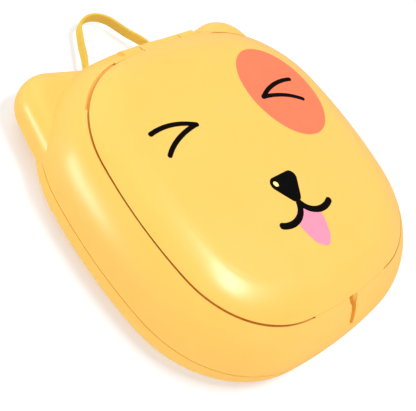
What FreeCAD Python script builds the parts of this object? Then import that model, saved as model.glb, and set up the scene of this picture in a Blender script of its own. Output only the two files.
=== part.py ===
import FreeCAD, Part
import math
import os
import Sketcher

# Flip-lid novelty telephone shaped as a puppy face.
# It lies on its back: +Z comes out of the face, +Y points to the ears, the back face is at z = 0.

# Driving sizes in millimetres
SIZES = {
    # rounded body
    "body_width": 110.0,
    "body_height": 106.6,
    "body_depth": 28.2,
    "corner_radius": 38.0,
    "side_bulge": 0.95,
    "crown_radius": 700.0,
    "shoulder_radius": 20.0,
    "back_radius": 6.0,
    "wall": 2.2,
    "fit_gap": 0.4,
    # parting lines
    "rim_level": 22.8,
    "lid_gap": 0.4,
    "back_seam_level": 8.2,
    "seam_groove_height": 0.25,
    "seam_groove_depth": 0.5,
    "seam_channel_inset": 7.75,
    "seam_channel_width": 0.9,
    "seam_channel_depth": 0.9,
    "relief_depth": 1.0,
    "relief_edge_inset": 7.2,
    "relief_width": 1.45,
    "relief_hinge_gap": 5.5,
    "relief_top_inset": 19.3,
    "chin_half_width": 17.0,
    "chin_land": 0.3,
    "scoop_radius": 5.0,
    "scoop_depth": 0.6,
    "slit_width": 2.2,
    "slit_foot": 15.0,
    "slit_mouth_radius": 2.4,
    "slit_mouth_depth": 2.0,
    "slit_rib_width": 7.0,
    "slit_rib_depth": 4.0,
    # ears
    "ear_back": 1.7,
    "ear_thickness": 12.6,
    "ear_round": 6.1,
    "ear_lobe_side_inset": 19.0,
    "ear_lobe_top_inset": 10.0,
    "ear_lobe_radius": 11.8,
    "ear_side_root_drop": 36.3,
    "ear_top_root_inset": 38.0,
    "ear_root_inset": 1.2,
    "ear_core": 22.0,
    # lid hinge
    "hinge_setback": 0.5,
    "hinge_drop": 2.8,
    "knuckle_radius": 2.3,
    "hinge_end_inset": 40.0,
    "lid_knuckle_half": 8.0,
    "knuckle_gap": 0.3,
    "notch_relief": 0.4,
    "pin_radius": 0.9,
    "pin_press_gap": 0.02,
    "pin_running_gap": 0.06,
    "trough_wall": 1.6,
    "web_depth": 3.6,
    "web_drop": 2.0,
    # keypad
    "well_inset": 11.7,
    "deck_top": 18.8,
    "deck_thickness": 1.6,
    "key_travel": 0.8,
    "key_rise": 1.2,
    "key_flange": 0.7,
    "key_flange_lip": 1.0,
    "key_window_gap": 0.3,
    "key_seat_gap": 0.1,
    "key_corner": 2.6,
    "key_edge_round": 0.5,
    "digit_key_width": 15.0,
    "digit_key_height": 9.0,
    "digit_pitch_x": 21.0,
    "digit_pitch_y": 13.0,
    "digit_top_y": 11.0,
    "call_key_width": 20.0,
    "call_key_height": 9.0,
    "call_key_x": 17.0,
    "call_key_y": 24.0,
    # board and what sits on it
    "board_width": 80.0,
    "board_edge_inset": 12.3,
    "board_thickness": 1.2,
    "mat_thickness": 0.4,
    "mat_margin": 0.7,
    "dome_radius": 3.2,
    "mic_gap": 0.6,
    "mic_radius": 2.6,
    "mic_height": 1.9,
    "mic_hole_radius": 0.8,
    "ringer_y": 27.0,
    "ringer_radius": 12.5,
    "ringer_height": 4.0,
    "ringer_wall": 1.2,
    "ringer_lap": 1.4,
    "ringer_slot_width": 1.5,
    "ringer_slot_length": 14.0,
    "ringer_slot_pitch": 4.0,
    "chip_size": 12.0,
    "chip_height": 1.5,
    "chip_side_inset": 28.0,
    "chip_top_inset": 29.3,
    "capacitor_radius": 3.0,
    "capacitor_height": 5.0,
    "capacitor_side_inset": 22.0,
    "capacitor_top_inset": 32.3,
    "sensor_width": 4.0,
    "sensor_height": 3.0,
    "sensor_depth": 1.2,
    "sensor_x": 18.0,
    "sensor_bay_gap": 0.6,
    # lid inside
    "liner_level": 20.6,
    "liner_thickness": 1.6,
    "liner_hinge_relief": 3.2,
    "earpiece_y": 2.0,
    "earpiece_radius": 10.0,
    "earpiece_height": 2.6,
    "earpiece_ring_wall": 1.2,
    "earpiece_ring_height": 1.2,
    "grille_hole_radius": 0.8,
    "grille_ring_radius": 4.2,
    "foam_bore_radius": 5.0,
    "foam_squeeze_gap": 0.2,
    "magnet_length": 8.0,
    "magnet_width": 4.0,
    "magnet_height": 2.0,
    "lid_post_inset": 17.8,
    "lid_post_radius": 2.8,
    # cells and their door
    "cell_radius": 5.25,
    "cell_length": 44.5,
    "cell_nub_radius": 1.9,
    "cell_nub_length": 0.8,
    "cell_gap": 0.3,
    "cell_bay_y": -8.0,
    "bay_wall": 1.6,
    "bay_end_room": 1.75,
    "contact_thickness": 0.4,
    "contact_height": 8.0,
    "contact_edge": 0.8,
    "spring_base_radius": 3.4,
    "spring_tip_radius": 2.2,
    "door_thickness": 1.5,
    "door_recess": 0.3,
    "door_lap": 1.0,
    "door_gap": 0.25,
    "door_tab_width": 9.0,
    "door_tab_length": 6.4,
    "door_boss_radius": 3.0,
    "door_boss_height": 6.0,
    # screws
    "case_boss_inset": 8.8,
    "case_boss_radius": 2.8,
    "case_head_radius": 2.3,
    "case_head_height": 1.8,
    "case_head_recess": 0.8,
    "case_shank_radius": 1.1,
    "case_thread_depth": 6.8,
    "small_head_radius": 1.8,
    "small_head_height": 0.9,
    "small_shank_radius": 0.8,
    "small_thread_depth": 2.0,
    "deck_screw_inset": 9.2,
    "deck_screw_y": 14.0,
    "board_post_gap": 3.2,
    "board_screw_y": 8.0,
    "board_post_radius": 2.2,
    "shank_gap": 0.05,
    "hole_gap": 0.2,
    "drill_point": 0.4,
    # carry loop
    "loop_width": 2.8,
    "loop_thickness": 1.1,
    "loop_level": 4.0,
    "loop_apex_rise": 19.3,
    "loop_bend_radius": 8.2,
    "loop_foot_inset": 35.8,
    "loop_foot_drop": 7.4,
    "loop_bead_radius": 1.6,
    "loop_slot_gap": 0.15,
    "lug_offset": 1.4,
    "lug_level": 5.0,
    "lug_radius": 2.2,
    "lug_rise": 0.8,
}

HALF_TURN = math.pi
DIAGONAL = math.sqrt(0.5)
CUT_OVER = 5.0
VIEW_MARGIN = 80.0
FLAT = 0.01
EAR_OUTWARD = 1.25

doc = FreeCAD.newDocument("PuppyTelephone")
sheet = doc.addObject("Spreadsheet::Sheet", "Sizes")
for row, (alias, number) in enumerate(SIZES.items(), start=1):
    sheet.set(f"A{row}", alias)
    sheet.set(f"B{row}", str(number))
    sheet.setAlias(f"B{row}", alias)
doc.recompute()


class Size:
    """A formula of sheet values, held both as a number and as the expression that binds to the sheet."""

    def __init__(self, value, text):
        self.value = value
        self.text = text

    def __add__(self, other):
        other = as_size(other)
        return Size(self.value + other.value, f"({self.text} + {other.text})")

    def __radd__(self, other):
        return as_size(other) + self

    def __sub__(self, other):
        other = as_size(other)
        return Size(self.value - other.value, f"({self.text} - {other.text})")

    def __rsub__(self, other):
        return as_size(other) - self

    def __mul__(self, other):
        other = as_size(other)
        return Size(self.value * other.value, f"({self.text} * {other.text})")

    def __rmul__(self, other):
        return as_size(other) * self

    def __truediv__(self, other):
        other = as_size(other)
        return Size(self.value / other.value, f"({self.text} / {other.text})")

    def __neg__(self):
        return Size(-self.value, f"(0 - {self.text})")


def root(item):
    """The square root of a Size."""
    return Size(math.sqrt(item.value), f"sqrt({item.text})")


def as_size(item):
    """Return item as a Size; a plain number becomes a constant."""
    if isinstance(item, Size):
        return item
    return Size(float(item), f"({float(item):.6f})")


def size(alias):
    """Return the sheet value with this alias as a Size."""
    return Size(SIZES[alias], f"Sizes.{alias}")


def bind(item, prop, value):
    """Bind a property of a document object to a Size."""
    item.setExpression(prop, as_size(value).text)


def place(item, x, y, z):
    """Bind the position of a document object."""
    bind(item, "Placement.Base.x", x)
    bind(item, "Placement.Base.y", y)
    bind(item, "Placement.Base.z", z)
    return item


def box(name, centre_x, centre_y, low_z, length, width, height):
    """A block centred on a point in plan, standing on low_z."""
    item = doc.addObject("Part::Box", name)
    bind(item, "Length", length)
    bind(item, "Width", width)
    bind(item, "Height", height)
    return place(item, centre_x - as_size(length) / 2, centre_y - as_size(width) / 2, low_z)


def disc(name, x, y, low_z, radius, height):
    """An upright cylinder."""
    item = doc.addObject("Part::Cylinder", name)
    bind(item, "Radius", radius)
    bind(item, "Height", height)
    return place(item, x, y, low_z)


def rod(name, low_x, y, z, radius, length):
    """A cylinder that runs along +X from low_x."""
    item = doc.addObject("Part::Cylinder", name)
    item.Placement = FreeCAD.Placement(FreeCAD.Vector(), FreeCAD.Rotation(FreeCAD.Vector(0, 1, 0), 90))
    bind(item, "Radius", radius)
    bind(item, "Height", length)
    return place(item, low_x, y, z)


def fuse(name, items):
    """Join several objects into one."""
    item = doc.addObject("Part::MultiFuse", name)
    item.Shapes = items
    item.Refine = True
    return item


def cut(name, base, tools):
    """Take one or more tools away from a base."""
    item = doc.addObject("Part::Cut", name)
    item.Base = base
    item.Tool = tools[0] if len(tools) == 1 else fuse(name + "Tools", tools)
    item.Refine = True
    return item


def common(name, first, second):
    """Keep what two objects share."""
    item = doc.addObject("Part::Common", name)
    item.Base = first
    item.Tool = second
    item.Refine = True
    return item


def slab(name, low_z, high_z):
    """A wide layer of space between two levels."""
    reach = size("body_width") + VIEW_MARGIN
    return box(name, as_size(0), as_size(0), low_z, reach, reach, high_z - low_z)


def new_body(name):
    return doc.addObject("PartDesign::Body", name)


def new_sketch(body, name, role="XY_Plane", level=None):
    """A sketch on one of the body's own origin planes, lifted to a level."""
    sketch = body.newObject("Sketcher::SketchObject", name)
    plane = next(item for item in body.Origin.OriginFeatures if item.Role == role)
    sketch.AttachmentSupport = [(plane, "")]
    sketch.MapMode = "FlatFace"
    if level is not None:
        bind(sketch, "AttachmentOffset.Base.z", level)
    return sketch


def dimension(sketch, name, kind, *places, value):
    """Add a driving dimension to a sketch and bind it to a Size."""
    value = as_size(value)
    index = sketch.addConstraint(Sketcher.Constraint(kind, *places, value.value))
    sketch.renameConstraint(index, name)
    bind(sketch, "Constraints." + name, value)


def relate(sketch, kind, *places):
    sketch.addConstraint(Sketcher.Constraint(kind, *places))


def point_at(sketch, name, geometry, end, x, y):
    """Fix one point of a sketch by its distances from the origin; negative sizes count backwards."""
    for axis, value in (("DistanceX", as_size(x)), ("DistanceY", as_size(y))):
        label = name + axis[-1]
        if value.value >= 0:
            dimension(sketch, label, axis, -1, 1, geometry, end, value=value)
        else:
            dimension(sketch, label, axis, geometry, end, -1, 1, value=-value)


def arc(x, y, radius, start, stop):
    circle = Part.Circle(FreeCAD.Vector(x, y, 0), FreeCAD.Vector(0, 0, 1), radius)
    return Part.ArcOfCircle(circle, start, stop)


def line(start, stop):
    return Part.LineSegment(FreeCAD.Vector(*start, 0), FreeCAD.Vector(*stop, 0))


def pad(body, name, sketch, length):
    feature = body.newObject("PartDesign::Pad", name)
    feature.Profile = sketch
    bind(feature, "Length", length)
    doc.recompute()
    return feature


def fillet(body, name, base, radius, chosen):
    """Round the edges of a feature that a test picks out."""
    names = [f"Edge{n}" for n, edge in enumerate(base.Shape.Edges, start=1) if chosen(edge)]
    feature = body.newObject("PartDesign::Fillet", name)
    feature.Base = (base, names)
    bind(feature, "Radius", radius)
    doc.recompute()
    return feature


# Sizes that several pieces share

half_width = size("body_width") / 2
half_height = size("body_height") / 2
wall = size("wall")
fit_gap = size("fit_gap")
zero = as_size(0)

corner_x = half_width - size("side_bulge") - size("corner_radius")
corner_y = half_height - size("side_bulge") - size("corner_radius")
side_radius = size("corner_radius") + size("side_bulge") / 2 + corner_y * corner_y / (2 * size("side_bulge"))
end_radius = size("corner_radius") + size("side_bulge") / 2 + corner_x * corner_x / (2 * size("side_bulge"))

rim_level = size("rim_level")
lid_level = rim_level + size("lid_gap")
back_seam = size("back_seam_level")
deck_top = size("deck_top")
deck_bottom = deck_top - size("deck_thickness")
liner_top = size("liner_level") + size("liner_thickness")

rim_arm = size("shoulder_radius") - size("body_depth") + rim_level
rim_reach = root(size("shoulder_radius") * size("shoulder_radius") - rim_arm * rim_arm)
rim_y = half_height - size("shoulder_radius") + rim_reach
hinge_y = rim_y - size("hinge_setback")
hinge_z = rim_level - size("hinge_drop")
hinge_clear_radius = size("knuckle_radius") + fit_gap
hinge_notch_radius = hinge_clear_radius + size("notch_relief")
hinge_half_span = half_width - size("hinge_end_inset")
trough_radius = hinge_clear_radius + size("trough_wall")

flange_bottom = deck_bottom - size("key_seat_gap") - size("key_flange")
mat_top = flange_bottom - size("key_travel") - size("key_seat_gap")
board_top = mat_top - size("mat_thickness")
board_bottom = board_top - size("board_thickness")

boss_step = (size("corner_radius") - size("case_boss_inset")) * DIAGONAL
boss_x = corner_x + boss_step
boss_y = corner_y + boss_step
post_step = (size("corner_radius") - size("lid_post_inset")) * DIAGONAL
lid_post_x = corner_x + post_step
lid_post_y = corner_y + post_step

bay_length = size("cell_length") + 2 * size("bay_end_room")
bay_width = 6 * size("cell_radius") + 4 * size("cell_gap")
sensor_x = size("sensor_x")
sensor_y = (
    size("cell_bay_y") - bay_width / 2 - size("bay_wall") - size("sensor_bay_gap")
    - size("sensor_height") / 2)
mat_half_width = (
    size("digit_pitch_x") + size("digit_key_width") / 2 + size("key_flange_lip") + size("mat_margin"))
mat_low_y = (
    size("digit_top_y") - 3 * size("digit_pitch_y") - size("digit_key_height") / 2
    - size("key_flange_lip") - size("mat_margin"))
mat_high_y = size("call_key_y") + size("call_key_height") / 2 + size("key_flange_lip") + size("mat_margin")
mic_y = mat_low_y - size("mic_radius") - size("mic_gap")
board_screw_x = mat_half_width + size("board_post_radius") + size("board_post_gap")
loop_foot_x = half_width - size("loop_foot_inset")
CORNERS = ((1, 1), (-1, 1), (-1, -1), (1, -1))


def squircle(body, name, inset, level):
    """The body outline: gently bowed sides joined by large corner arcs, all tangent, inset all round."""
    sketch = new_sketch(body, name, level=level)
    side_centre = side_radius - half_width
    end_centre = end_radius - half_height
    side_turn = math.atan2(corner_y.value, corner_x.value + side_centre.value)
    end_turn = math.atan2(corner_y.value + end_centre.value, corner_x.value)
    side = (side_radius - inset).value
    end = (end_radius - inset).value
    corner = (size("corner_radius") - inset).value
    cx, cy = corner_x.value, corner_y.value
    turn = 2 * HALF_TURN
    sketch.addGeometry([
        arc(-side_centre.value, 0, side, -side_turn, side_turn),
        arc(cx, cy, corner, side_turn, end_turn),
        arc(0, -end_centre.value, end, end_turn, HALF_TURN - end_turn),
        arc(-cx, cy, corner, HALF_TURN - end_turn, HALF_TURN - side_turn),
        arc(side_centre.value, 0, side, HALF_TURN - side_turn, HALF_TURN + side_turn),
        arc(-cx, -cy, corner, HALF_TURN + side_turn, HALF_TURN + end_turn),
        arc(0, end_centre.value, end, HALF_TURN + end_turn, turn - end_turn),
        arc(cx, -cy, corner, turn - end_turn, turn - side_turn),
    ], False)
    for index in range(8):
        relate(sketch, "Tangent", index, 2, (index + 1) % 8, 1)
    for index, axis in ((0, -1), (4, -1), (2, -2), (6, -2)):
        relate(sketch, "PointOnObject", index, 3, axis)
    for first, second in ((0, 4), (2, 6), (1, 3), (1, 5), (1, 7)):
        relate(sketch, "Equal", first, second)
    dimension(sketch, "side_radius", "Radius", 0, value=side_radius - inset)
    dimension(sketch, "end_radius", "Radius", 2, value=end_radius - inset)
    dimension(sketch, "corner_radius", "Radius", 1, value=size("corner_radius") - inset)
    dimension(sketch, "right_centre", "DistanceX", 0, 3, -1, 1, value=side_centre)
    dimension(sketch, "left_centre", "DistanceX", -1, 1, 4, 3, value=side_centre)
    dimension(sketch, "top_centre", "DistanceY", 2, 3, -1, 1, value=end_centre)
    dimension(sketch, "bottom_centre", "DistanceY", -1, 1, 6, 3, value=end_centre)
    return sketch


def squircle_prism(name, inset, low_z, high_z):
    """A straight-sided plug with the body outline, inset all round."""
    body = new_body(name)
    pad(body, name + "Pad", squircle(body, name + "Outline", as_size(inset), low_z), high_z - low_z)
    return body


def pillow(name, inset):
    """The closed body form: slightly domed face, large shoulder rounding, small rounding at the back."""
    inset = as_size(inset)
    top = size("body_depth") - inset
    crown = size("crown_radius") - inset
    reach = half_width + half_height
    body = new_body(name)
    block = pad(body, name + "Block", squircle(body, name + "Outline", inset, inset), top - inset)

    sketch = new_sketch(body, name + "CrownProfile", role="XZ_Plane")
    crown_turn = math.acos(reach.value / crown.value)
    edge_z = top.value - crown.value + crown.value * math.sin(crown_turn)
    lid_z = top.value + CUT_OVER
    sketch.addGeometry([
        arc(0, top.value - crown.value, crown.value, crown_turn, HALF_TURN / 2),
        line((0, top.value), (0, lid_z)),
        line((0, lid_z), (reach.value, lid_z)),
        line((reach.value, lid_z), (reach.value, edge_z)),
    ], False)
    relate(sketch, "Coincident", 0, 2, 1, 1)
    relate(sketch, "Coincident", 1, 2, 2, 1)
    relate(sketch, "Coincident", 2, 2, 3, 1)
    relate(sketch, "Coincident", 3, 2, 0, 1)
    relate(sketch, "PointOnObject", 0, 3, -2)
    relate(sketch, "PointOnObject", 0, 2, -2)
    relate(sketch, "Vertical", 1)
    relate(sketch, "Horizontal", 2)
    relate(sketch, "Vertical", 3)
    dimension(sketch, "crown", "Radius", 0, value=crown)
    dimension(sketch, "face_level", "DistanceY", -1, 1, 1, 1, value=top)
    dimension(sketch, "over", "DistanceY", 1, 1, 1, 2, value=CUT_OVER)
    dimension(sketch, "reach", "DistanceX", 2, 1, 2, 2, value=reach)
    groove = body.newObject("PartDesign::Groove", name + "Crown")
    groove.Profile = sketch
    groove.ReferenceAxis = (sketch, ["V_Axis"])
    groove.Angle = 360
    doc.recompute()

    def on_rim(edge):
        return all(v.Z > block.Shape.BoundBox.ZMax - CUT_OVER and math.hypot(v.X, v.Y) > half_height.value / 2
                   for v in edge.Vertexes)

    def on_back(edge):
        return edge.BoundBox.ZMax < inset.value + wall.value / 2

    shoulder = fillet(body, name + "Shoulder", groove, size("shoulder_radius") - inset, on_rim)
    fillet(body, name + "Back", shoulder, size("back_radius") - inset, on_back)
    return body


def ear(name):
    """The right ear: a round lobe with straight flanks that run into the side and the top wall."""
    body = new_body(name)
    sketch = new_sketch(body, name + "Outline", level=size("ear_back"))
    lobe_x = half_width - size("ear_lobe_side_inset")
    lobe_y = half_height - size("ear_lobe_top_inset")
    lobe = (lobe_x.value, lobe_y.value)
    radius = size("ear_lobe_radius").value
    root_inset = size("ear_root_inset") + size("side_bulge")
    side_root = (half_width - root_inset, half_height - size("ear_side_root_drop"))
    top_root = (half_width - size("ear_top_root_inset"), half_height - root_inset)
    core = (size("ear_core"), size("ear_core"))
    side_xy = (side_root[0].value, side_root[1].value)
    top_xy = (top_root[0].value, top_root[1].value)
    core_xy = (core[0].value, core[1].value)

    def tangent_turn(xy, way):
        """Direction from the lobe centre to the point where a flank from xy touches the lobe."""
        away = math.hypot(xy[0] - lobe[0], xy[1] - lobe[1])
        return math.atan2(xy[1] - lobe[1], xy[0] - lobe[0]) + way * math.acos(radius / away)

    side_turn = tangent_turn(side_xy, 1)
    top_turn = tangent_turn(top_xy, -1) % (2 * HALF_TURN)
    side_touch = (lobe[0] + radius * math.cos(side_turn), lobe[1] + radius * math.sin(side_turn))
    top_touch = (lobe[0] + radius * math.cos(top_turn), lobe[1] + radius * math.sin(top_turn))
    sketch.addGeometry([
        arc(lobe[0], lobe[1], radius, side_turn, top_turn),
        line(top_touch, top_xy),
        line(top_xy, core_xy),
        line(core_xy, side_xy),
        line(side_xy, side_touch),
    ], False)
    relate(sketch, "Tangent", 0, 2, 1, 1)
    relate(sketch, "Coincident", 1, 2, 2, 1)
    relate(sketch, "Coincident", 2, 2, 3, 1)
    relate(sketch, "Coincident", 3, 2, 4, 1)
    relate(sketch, "Tangent", 4, 2, 0, 1)
    point_at(sketch, "lobe", 0, 3, lobe_x, lobe_y)
    dimension(sketch, "lobe_radius", "Radius", 0, value=size("ear_lobe_radius"))
    point_at(sketch, "top_root", 1, 2, *top_root)
    point_at(sketch, "core", 2, 2, *core)
    point_at(sketch, "side_root", 3, 2, *side_root)
    block = pad(body, name + "Block", sketch, size("ear_thickness"))

    def on_flank(edge):
        middle = edge.valueAt((edge.FirstParameter + edge.LastParameter) / 2)
        outward = middle.x / half_width.value + middle.y / half_height.value
        return edge.BoundBox.ZLength < FLAT and outward > EAR_OUTWARD

    fillet(body, name + "Round", block, size("ear_round"), on_flank)
    return body


def rounded_plate(name, width, height, corner, low_z, thickness, edge_round=None):
    """A plate with rounded corners, centred on its own origin."""
    body = new_body(name)
    sketch = rounded_rectangle(body, name + "Outline", width, height, low_z)
    block = pad(body, name + "Pad", sketch, thickness)
    tip = fillet(body, name + "Corners", block, corner, lambda edge: edge.BoundBox.ZLength > FLAT)
    if edge_round is not None:
        high = (low_z + thickness).value
        fillet(body, name + "TopRound", tip, edge_round, lambda edge: edge.BoundBox.ZMin > high - FLAT)
    return body


def rounded_rectangle(body, name, width, height, level):
    """A rectangle sketch centred on the body's origin."""
    sketch = new_sketch(body, name, level=level)
    x, y = as_size(width).value / 2, as_size(height).value / 2
    ends = [(-x, -y), (x, -y), (x, y), (-x, y)]
    sketch.addGeometry([line(ends[n], ends[(n + 1) % 4]) for n in range(4)], False)
    for index in range(4):
        relate(sketch, "Coincident", index, 2, (index + 1) % 4, 1)
        relate(sketch, "Horizontal" if index % 2 == 0 else "Vertical", index)
    relate(sketch, "Symmetric", 0, 1, 1, 2, -1, 1)
    dimension(sketch, "width", "DistanceX", 0, 1, 0, 2, value=width)
    dimension(sketch, "height", "DistanceY", 1, 1, 1, 2, value=height)
    return sketch


def mirrored(name, source):
    """The same form on the other side of the face."""
    item = doc.addObject("Part::Mirroring", name)
    item.Source = source
    item.Normal = FreeCAD.Vector(1, 0, 0)
    return item


def screw(name, x, y, head_z, head_height, head_radius, shank_radius, shank_length):
    """A screw that points up: a flat head and a plain shank."""
    head = disc(name + "Head", x, y, head_z, head_radius, head_height)
    shank = disc(name + "Shank", x, y, head_z, shank_radius, head_height + shank_length)
    return fuse(name, [head, shank])


nodes = {}

# Body form, ears and the layers that the parting lines make

outer = pillow("Outer", zero)
inner = pillow("Inner", wall)
fit_core = pillow("FitCore", wall + fit_gap)
right_ear = ear("RightEar")
left_ear = mirrored("LeftEar", right_ear)
case_form = fuse("CaseForm", [outer, right_ear, left_ear])
base_form = common("BaseForm", case_form, slab("BaseLayer", back_seam, rim_level))
cover_form = common("CoverForm", case_form, slab("CoverLayer", zero, back_seam))
lid_form = common("LidForm", outer, slab("LidLayer", lid_level, size("body_depth") + CUT_OVER))

# Main shell: hollow below the keypad deck, open well above it, hinge trough, screw bosses and chin rib

base_room = common("BaseRoom", inner, slab("BaseRoomLayer", zero, deck_top))
trough_half = hinge_half_span + size("trough_wall")
trough = rod("HingeTrough", -trough_half, hinge_y, hinge_z, trough_radius, 2 * trough_half)
chin_rib = box(
    "ChinRib", zero, wall + size("slit_rib_depth") / 2 - half_height, zero,
    size("slit_rib_width"), size("slit_rib_depth"), deck_top)
case_bosses = [
    disc(f"CaseBoss{n}", sx * boss_x, sy * boss_y, zero, size("case_boss_radius"), deck_top)
    for n, (sx, sy) in enumerate(CORNERS, start=1)]
base_core = cut("BaseCore", base_room, [trough, chin_rib] + case_bosses)
well = squircle_prism("Well", size("well_inset"), deck_top, rim_level + CUT_OVER)
base_hollow = cut("BaseHollow", base_form, [base_core, well])

knuckle_room = size("lid_knuckle_half") + size("knuckle_gap")
hinge_notch = rod("HingeNotch", -knuckle_room, hinge_y, hinge_z, hinge_notch_radius, 2 * knuckle_room)
web_room_depth = size("web_depth") + size("well_inset")
web_room = box(
    "WebRoom", zero, hinge_y - web_room_depth / 2, rim_level - size("web_drop") - fit_gap,
    2 * knuckle_room, web_room_depth, size("web_drop") + CUT_OVER)
slit_box = box(
    "SlitBox", zero, -half_height, size("slit_foot"), size("slit_width"), half_height,
    rim_level + CUT_OVER - size("slit_foot"))
slit = cut("Slit", slit_box, [pillow("SlitFloor", wall)])
groove_layer = slab("SeamGrooveLayer", back_seam, back_seam + size("seam_groove_height"))
groove_keep = squircle_prism(
    "SeamGrooveKeep", size("seam_groove_depth"), back_seam - CUT_OVER, back_seam + CUT_OVER)
seam_groove = cut("SeamGroove", groove_layer, [groove_keep, right_ear, left_ear])
# A channel along the edge of the rim deepens the seam, stops at the chin and widens beside the hinge
channel_low = rim_level - size("seam_channel_depth")
channel_outer = squircle_prism("ChannelOuter", size("seam_channel_inset"), channel_low, lid_level)
channel_inner = squircle_prism(
    "ChannelInner", size("seam_channel_inset") + size("seam_channel_width"), channel_low - CUT_OVER,
    lid_level + CUT_OVER)
channel_stop = box(
    "ChannelStop", zero, -half_height, channel_low - CUT_OVER, 2 * size("chin_half_width"),
    2 * size("well_inset"), size("seam_channel_depth") + 2 * CUT_OVER)
seam_channel = cut("SeamChannel", channel_outer, [channel_inner, channel_stop])
relief_low = rim_level - size("relief_depth")
relief_outer = squircle_prism("ReliefOuter", size("relief_edge_inset"), relief_low, lid_level)
relief_inner = squircle_prism(
    "ReliefInner", size("relief_edge_inset") + size("relief_width"), relief_low - CUT_OVER,
    lid_level + CUT_OVER)
relief_ring = cut("ReliefRing", relief_outer, [relief_inner])
relief_start = hinge_half_span + size("relief_hinge_gap")
reliefs = [
    common(
        f"HingeRelief{n}", relief_ring,
        box(f"ReliefZone{n}", side * (relief_start + half_width / 2),
            half_height - size("relief_top_inset") / 2, relief_low, half_width, size("relief_top_inset"),
            size("relief_depth") + CUT_OVER))
    for n, side in enumerate((1, -1), start=1)]
# The chin: the rim rises to close the seam, a thumb scoop runs along it and the slit flares into it
scoop_lift = size("scoop_radius") - size("scoop_depth")
scoop = rod(
    "ChinScoop", -size("chin_half_width"), -rim_y - scoop_lift * rim_reach / size("shoulder_radius"),
    rim_level + scoop_lift * rim_arm / size("shoulder_radius"), size("scoop_radius"),
    2 * size("chin_half_width"))
slit_mouth = doc.addObject("Part::Cone", "SlitMouth")
bind(slit_mouth, "Radius1", size("slit_width") / 2)
bind(slit_mouth, "Radius2", size("slit_mouth_radius"))
bind(slit_mouth, "Height", size("slit_mouth_depth") + size("chin_land"))
place(slit_mouth, zero, -rim_y, rim_level - size("slit_mouth_depth"))
chin_block = box(
    "ChinBlock", zero, size("well_inset") / 2 - half_height, back_seam, 2 * size("chin_half_width"),
    size("well_inset"), rim_level + size("chin_land") - back_seam)
chin_skin = common("ChinSkin", chin_block, outer)
chin_form = common("ChinForm", chin_skin, slab("ChinLayer", rim_level - wall, lid_level))
case_pilots = [
    disc(f"CasePilot{n}", sx * boss_x, sy * boss_y, zero, size("case_shank_radius") + size("shank_gap"),
         back_seam + size("case_thread_depth") + size("drill_point"))
    for n, (sx, sy) in enumerate(CORNERS, start=1)]
deck_screw_x = half_width - size("deck_screw_inset")
deck_pilots = [
    disc(f"DeckPilot{n}", sx * deck_screw_x, sy * size("deck_screw_y"), deck_bottom,
         size("small_shank_radius") + size("shank_gap"),
         size("deck_thickness") + size("small_thread_depth") + size("drill_point"))
    for n, (sx, sy) in enumerate(CORNERS, start=1)]
base_rim = fuse("BaseRim", [base_hollow, cut("ChinLand", chin_form, [well])])
base_open = cut(
    "BaseOpen", base_rim,
    [hinge_notch, web_room, slit, slit_mouth, seam_groove, scoop, seam_channel]
    + reliefs + case_pilots + deck_pilots)
knuckle_length = hinge_half_span - knuckle_room
base_knuckles = [
    rod("RightKnuckle", knuckle_room, hinge_y, hinge_z, size("knuckle_radius"), knuckle_length),
    rod("LeftKnuckle", -hinge_half_span, hinge_y, hinge_z, size("knuckle_radius"), knuckle_length)]
pin_low = size("pin_radius") - hinge_half_span
pin_length = 2 * hinge_half_span - size("pin_radius")
base_bore = rod(
    "BaseBore", pin_low, hinge_y, hinge_z, size("pin_radius") + size("pin_press_gap"),
    pin_length + CUT_OVER)
nodes["base_shell"] = cut("BaseShell", fuse("BaseWithKnuckles", [base_open] + base_knuckles), [base_bore])
nodes["hinge_pin"] = rod("HingePin", pin_low, hinge_y, hinge_z, size("pin_radius"), pin_length)

# Lid: thin dome with four screw posts, a hinge web and the middle knuckle

lid_dome = cut("LidDome", lid_form, [inner])
post_top = size("body_depth") - wall
lid_posts = [
    disc(f"LidPost{n}", sx * lid_post_x, sy * lid_post_y, liner_top,
         size("lid_post_radius"), post_top - liner_top)
    for n, (sx, sy) in enumerate(CORNERS, start=1)]
web_low = rim_level - size("web_drop")
web_block = box(
    "WebBlock", zero, hinge_y - size("web_depth") / 2, web_low,
    2 * size("lid_knuckle_half"), size("web_depth"), lid_level + wall - web_low)
web = common("LidWeb", web_block, outer)
lid_knuckle = rod(
    "LidKnuckle", -size("lid_knuckle_half"), hinge_y, hinge_z, size("knuckle_radius"),
    2 * size("lid_knuckle_half"))
lid_solid = fuse("LidSolid", [lid_dome, web, lid_knuckle] + lid_posts)
lid_bore = rod(
    "LidBore", -hinge_half_span, hinge_y, hinge_z, size("pin_radius") + size("pin_running_gap"),
    2 * hinge_half_span)
clear_length = hinge_half_span + fit_gap - size("lid_knuckle_half")
lid_clearances = [
    rod("RightLidClear", size("lid_knuckle_half"), hinge_y, hinge_z, hinge_clear_radius, clear_length),
    rod("LeftLidClear", -hinge_half_span - fit_gap, hinge_y, hinge_z, hinge_clear_radius, clear_length)]
lid_screw_reach = size("small_thread_depth") + size("drill_point")
lid_pilots = [
    disc(f"LidPilot{n}", sx * lid_post_x, sy * lid_post_y, liner_top - CUT_OVER,
         size("small_shank_radius") + size("shank_gap"), CUT_OVER + lid_screw_reach)
    for n, (sx, sy) in enumerate(CORNERS, start=1)]
nodes["lid_shell"] = cut("LidShell", lid_solid, [lid_bore] + lid_clearances + lid_pilots)

# Lid liner: the panel inside the lid, with the earpiece grille and its locating ring

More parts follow.
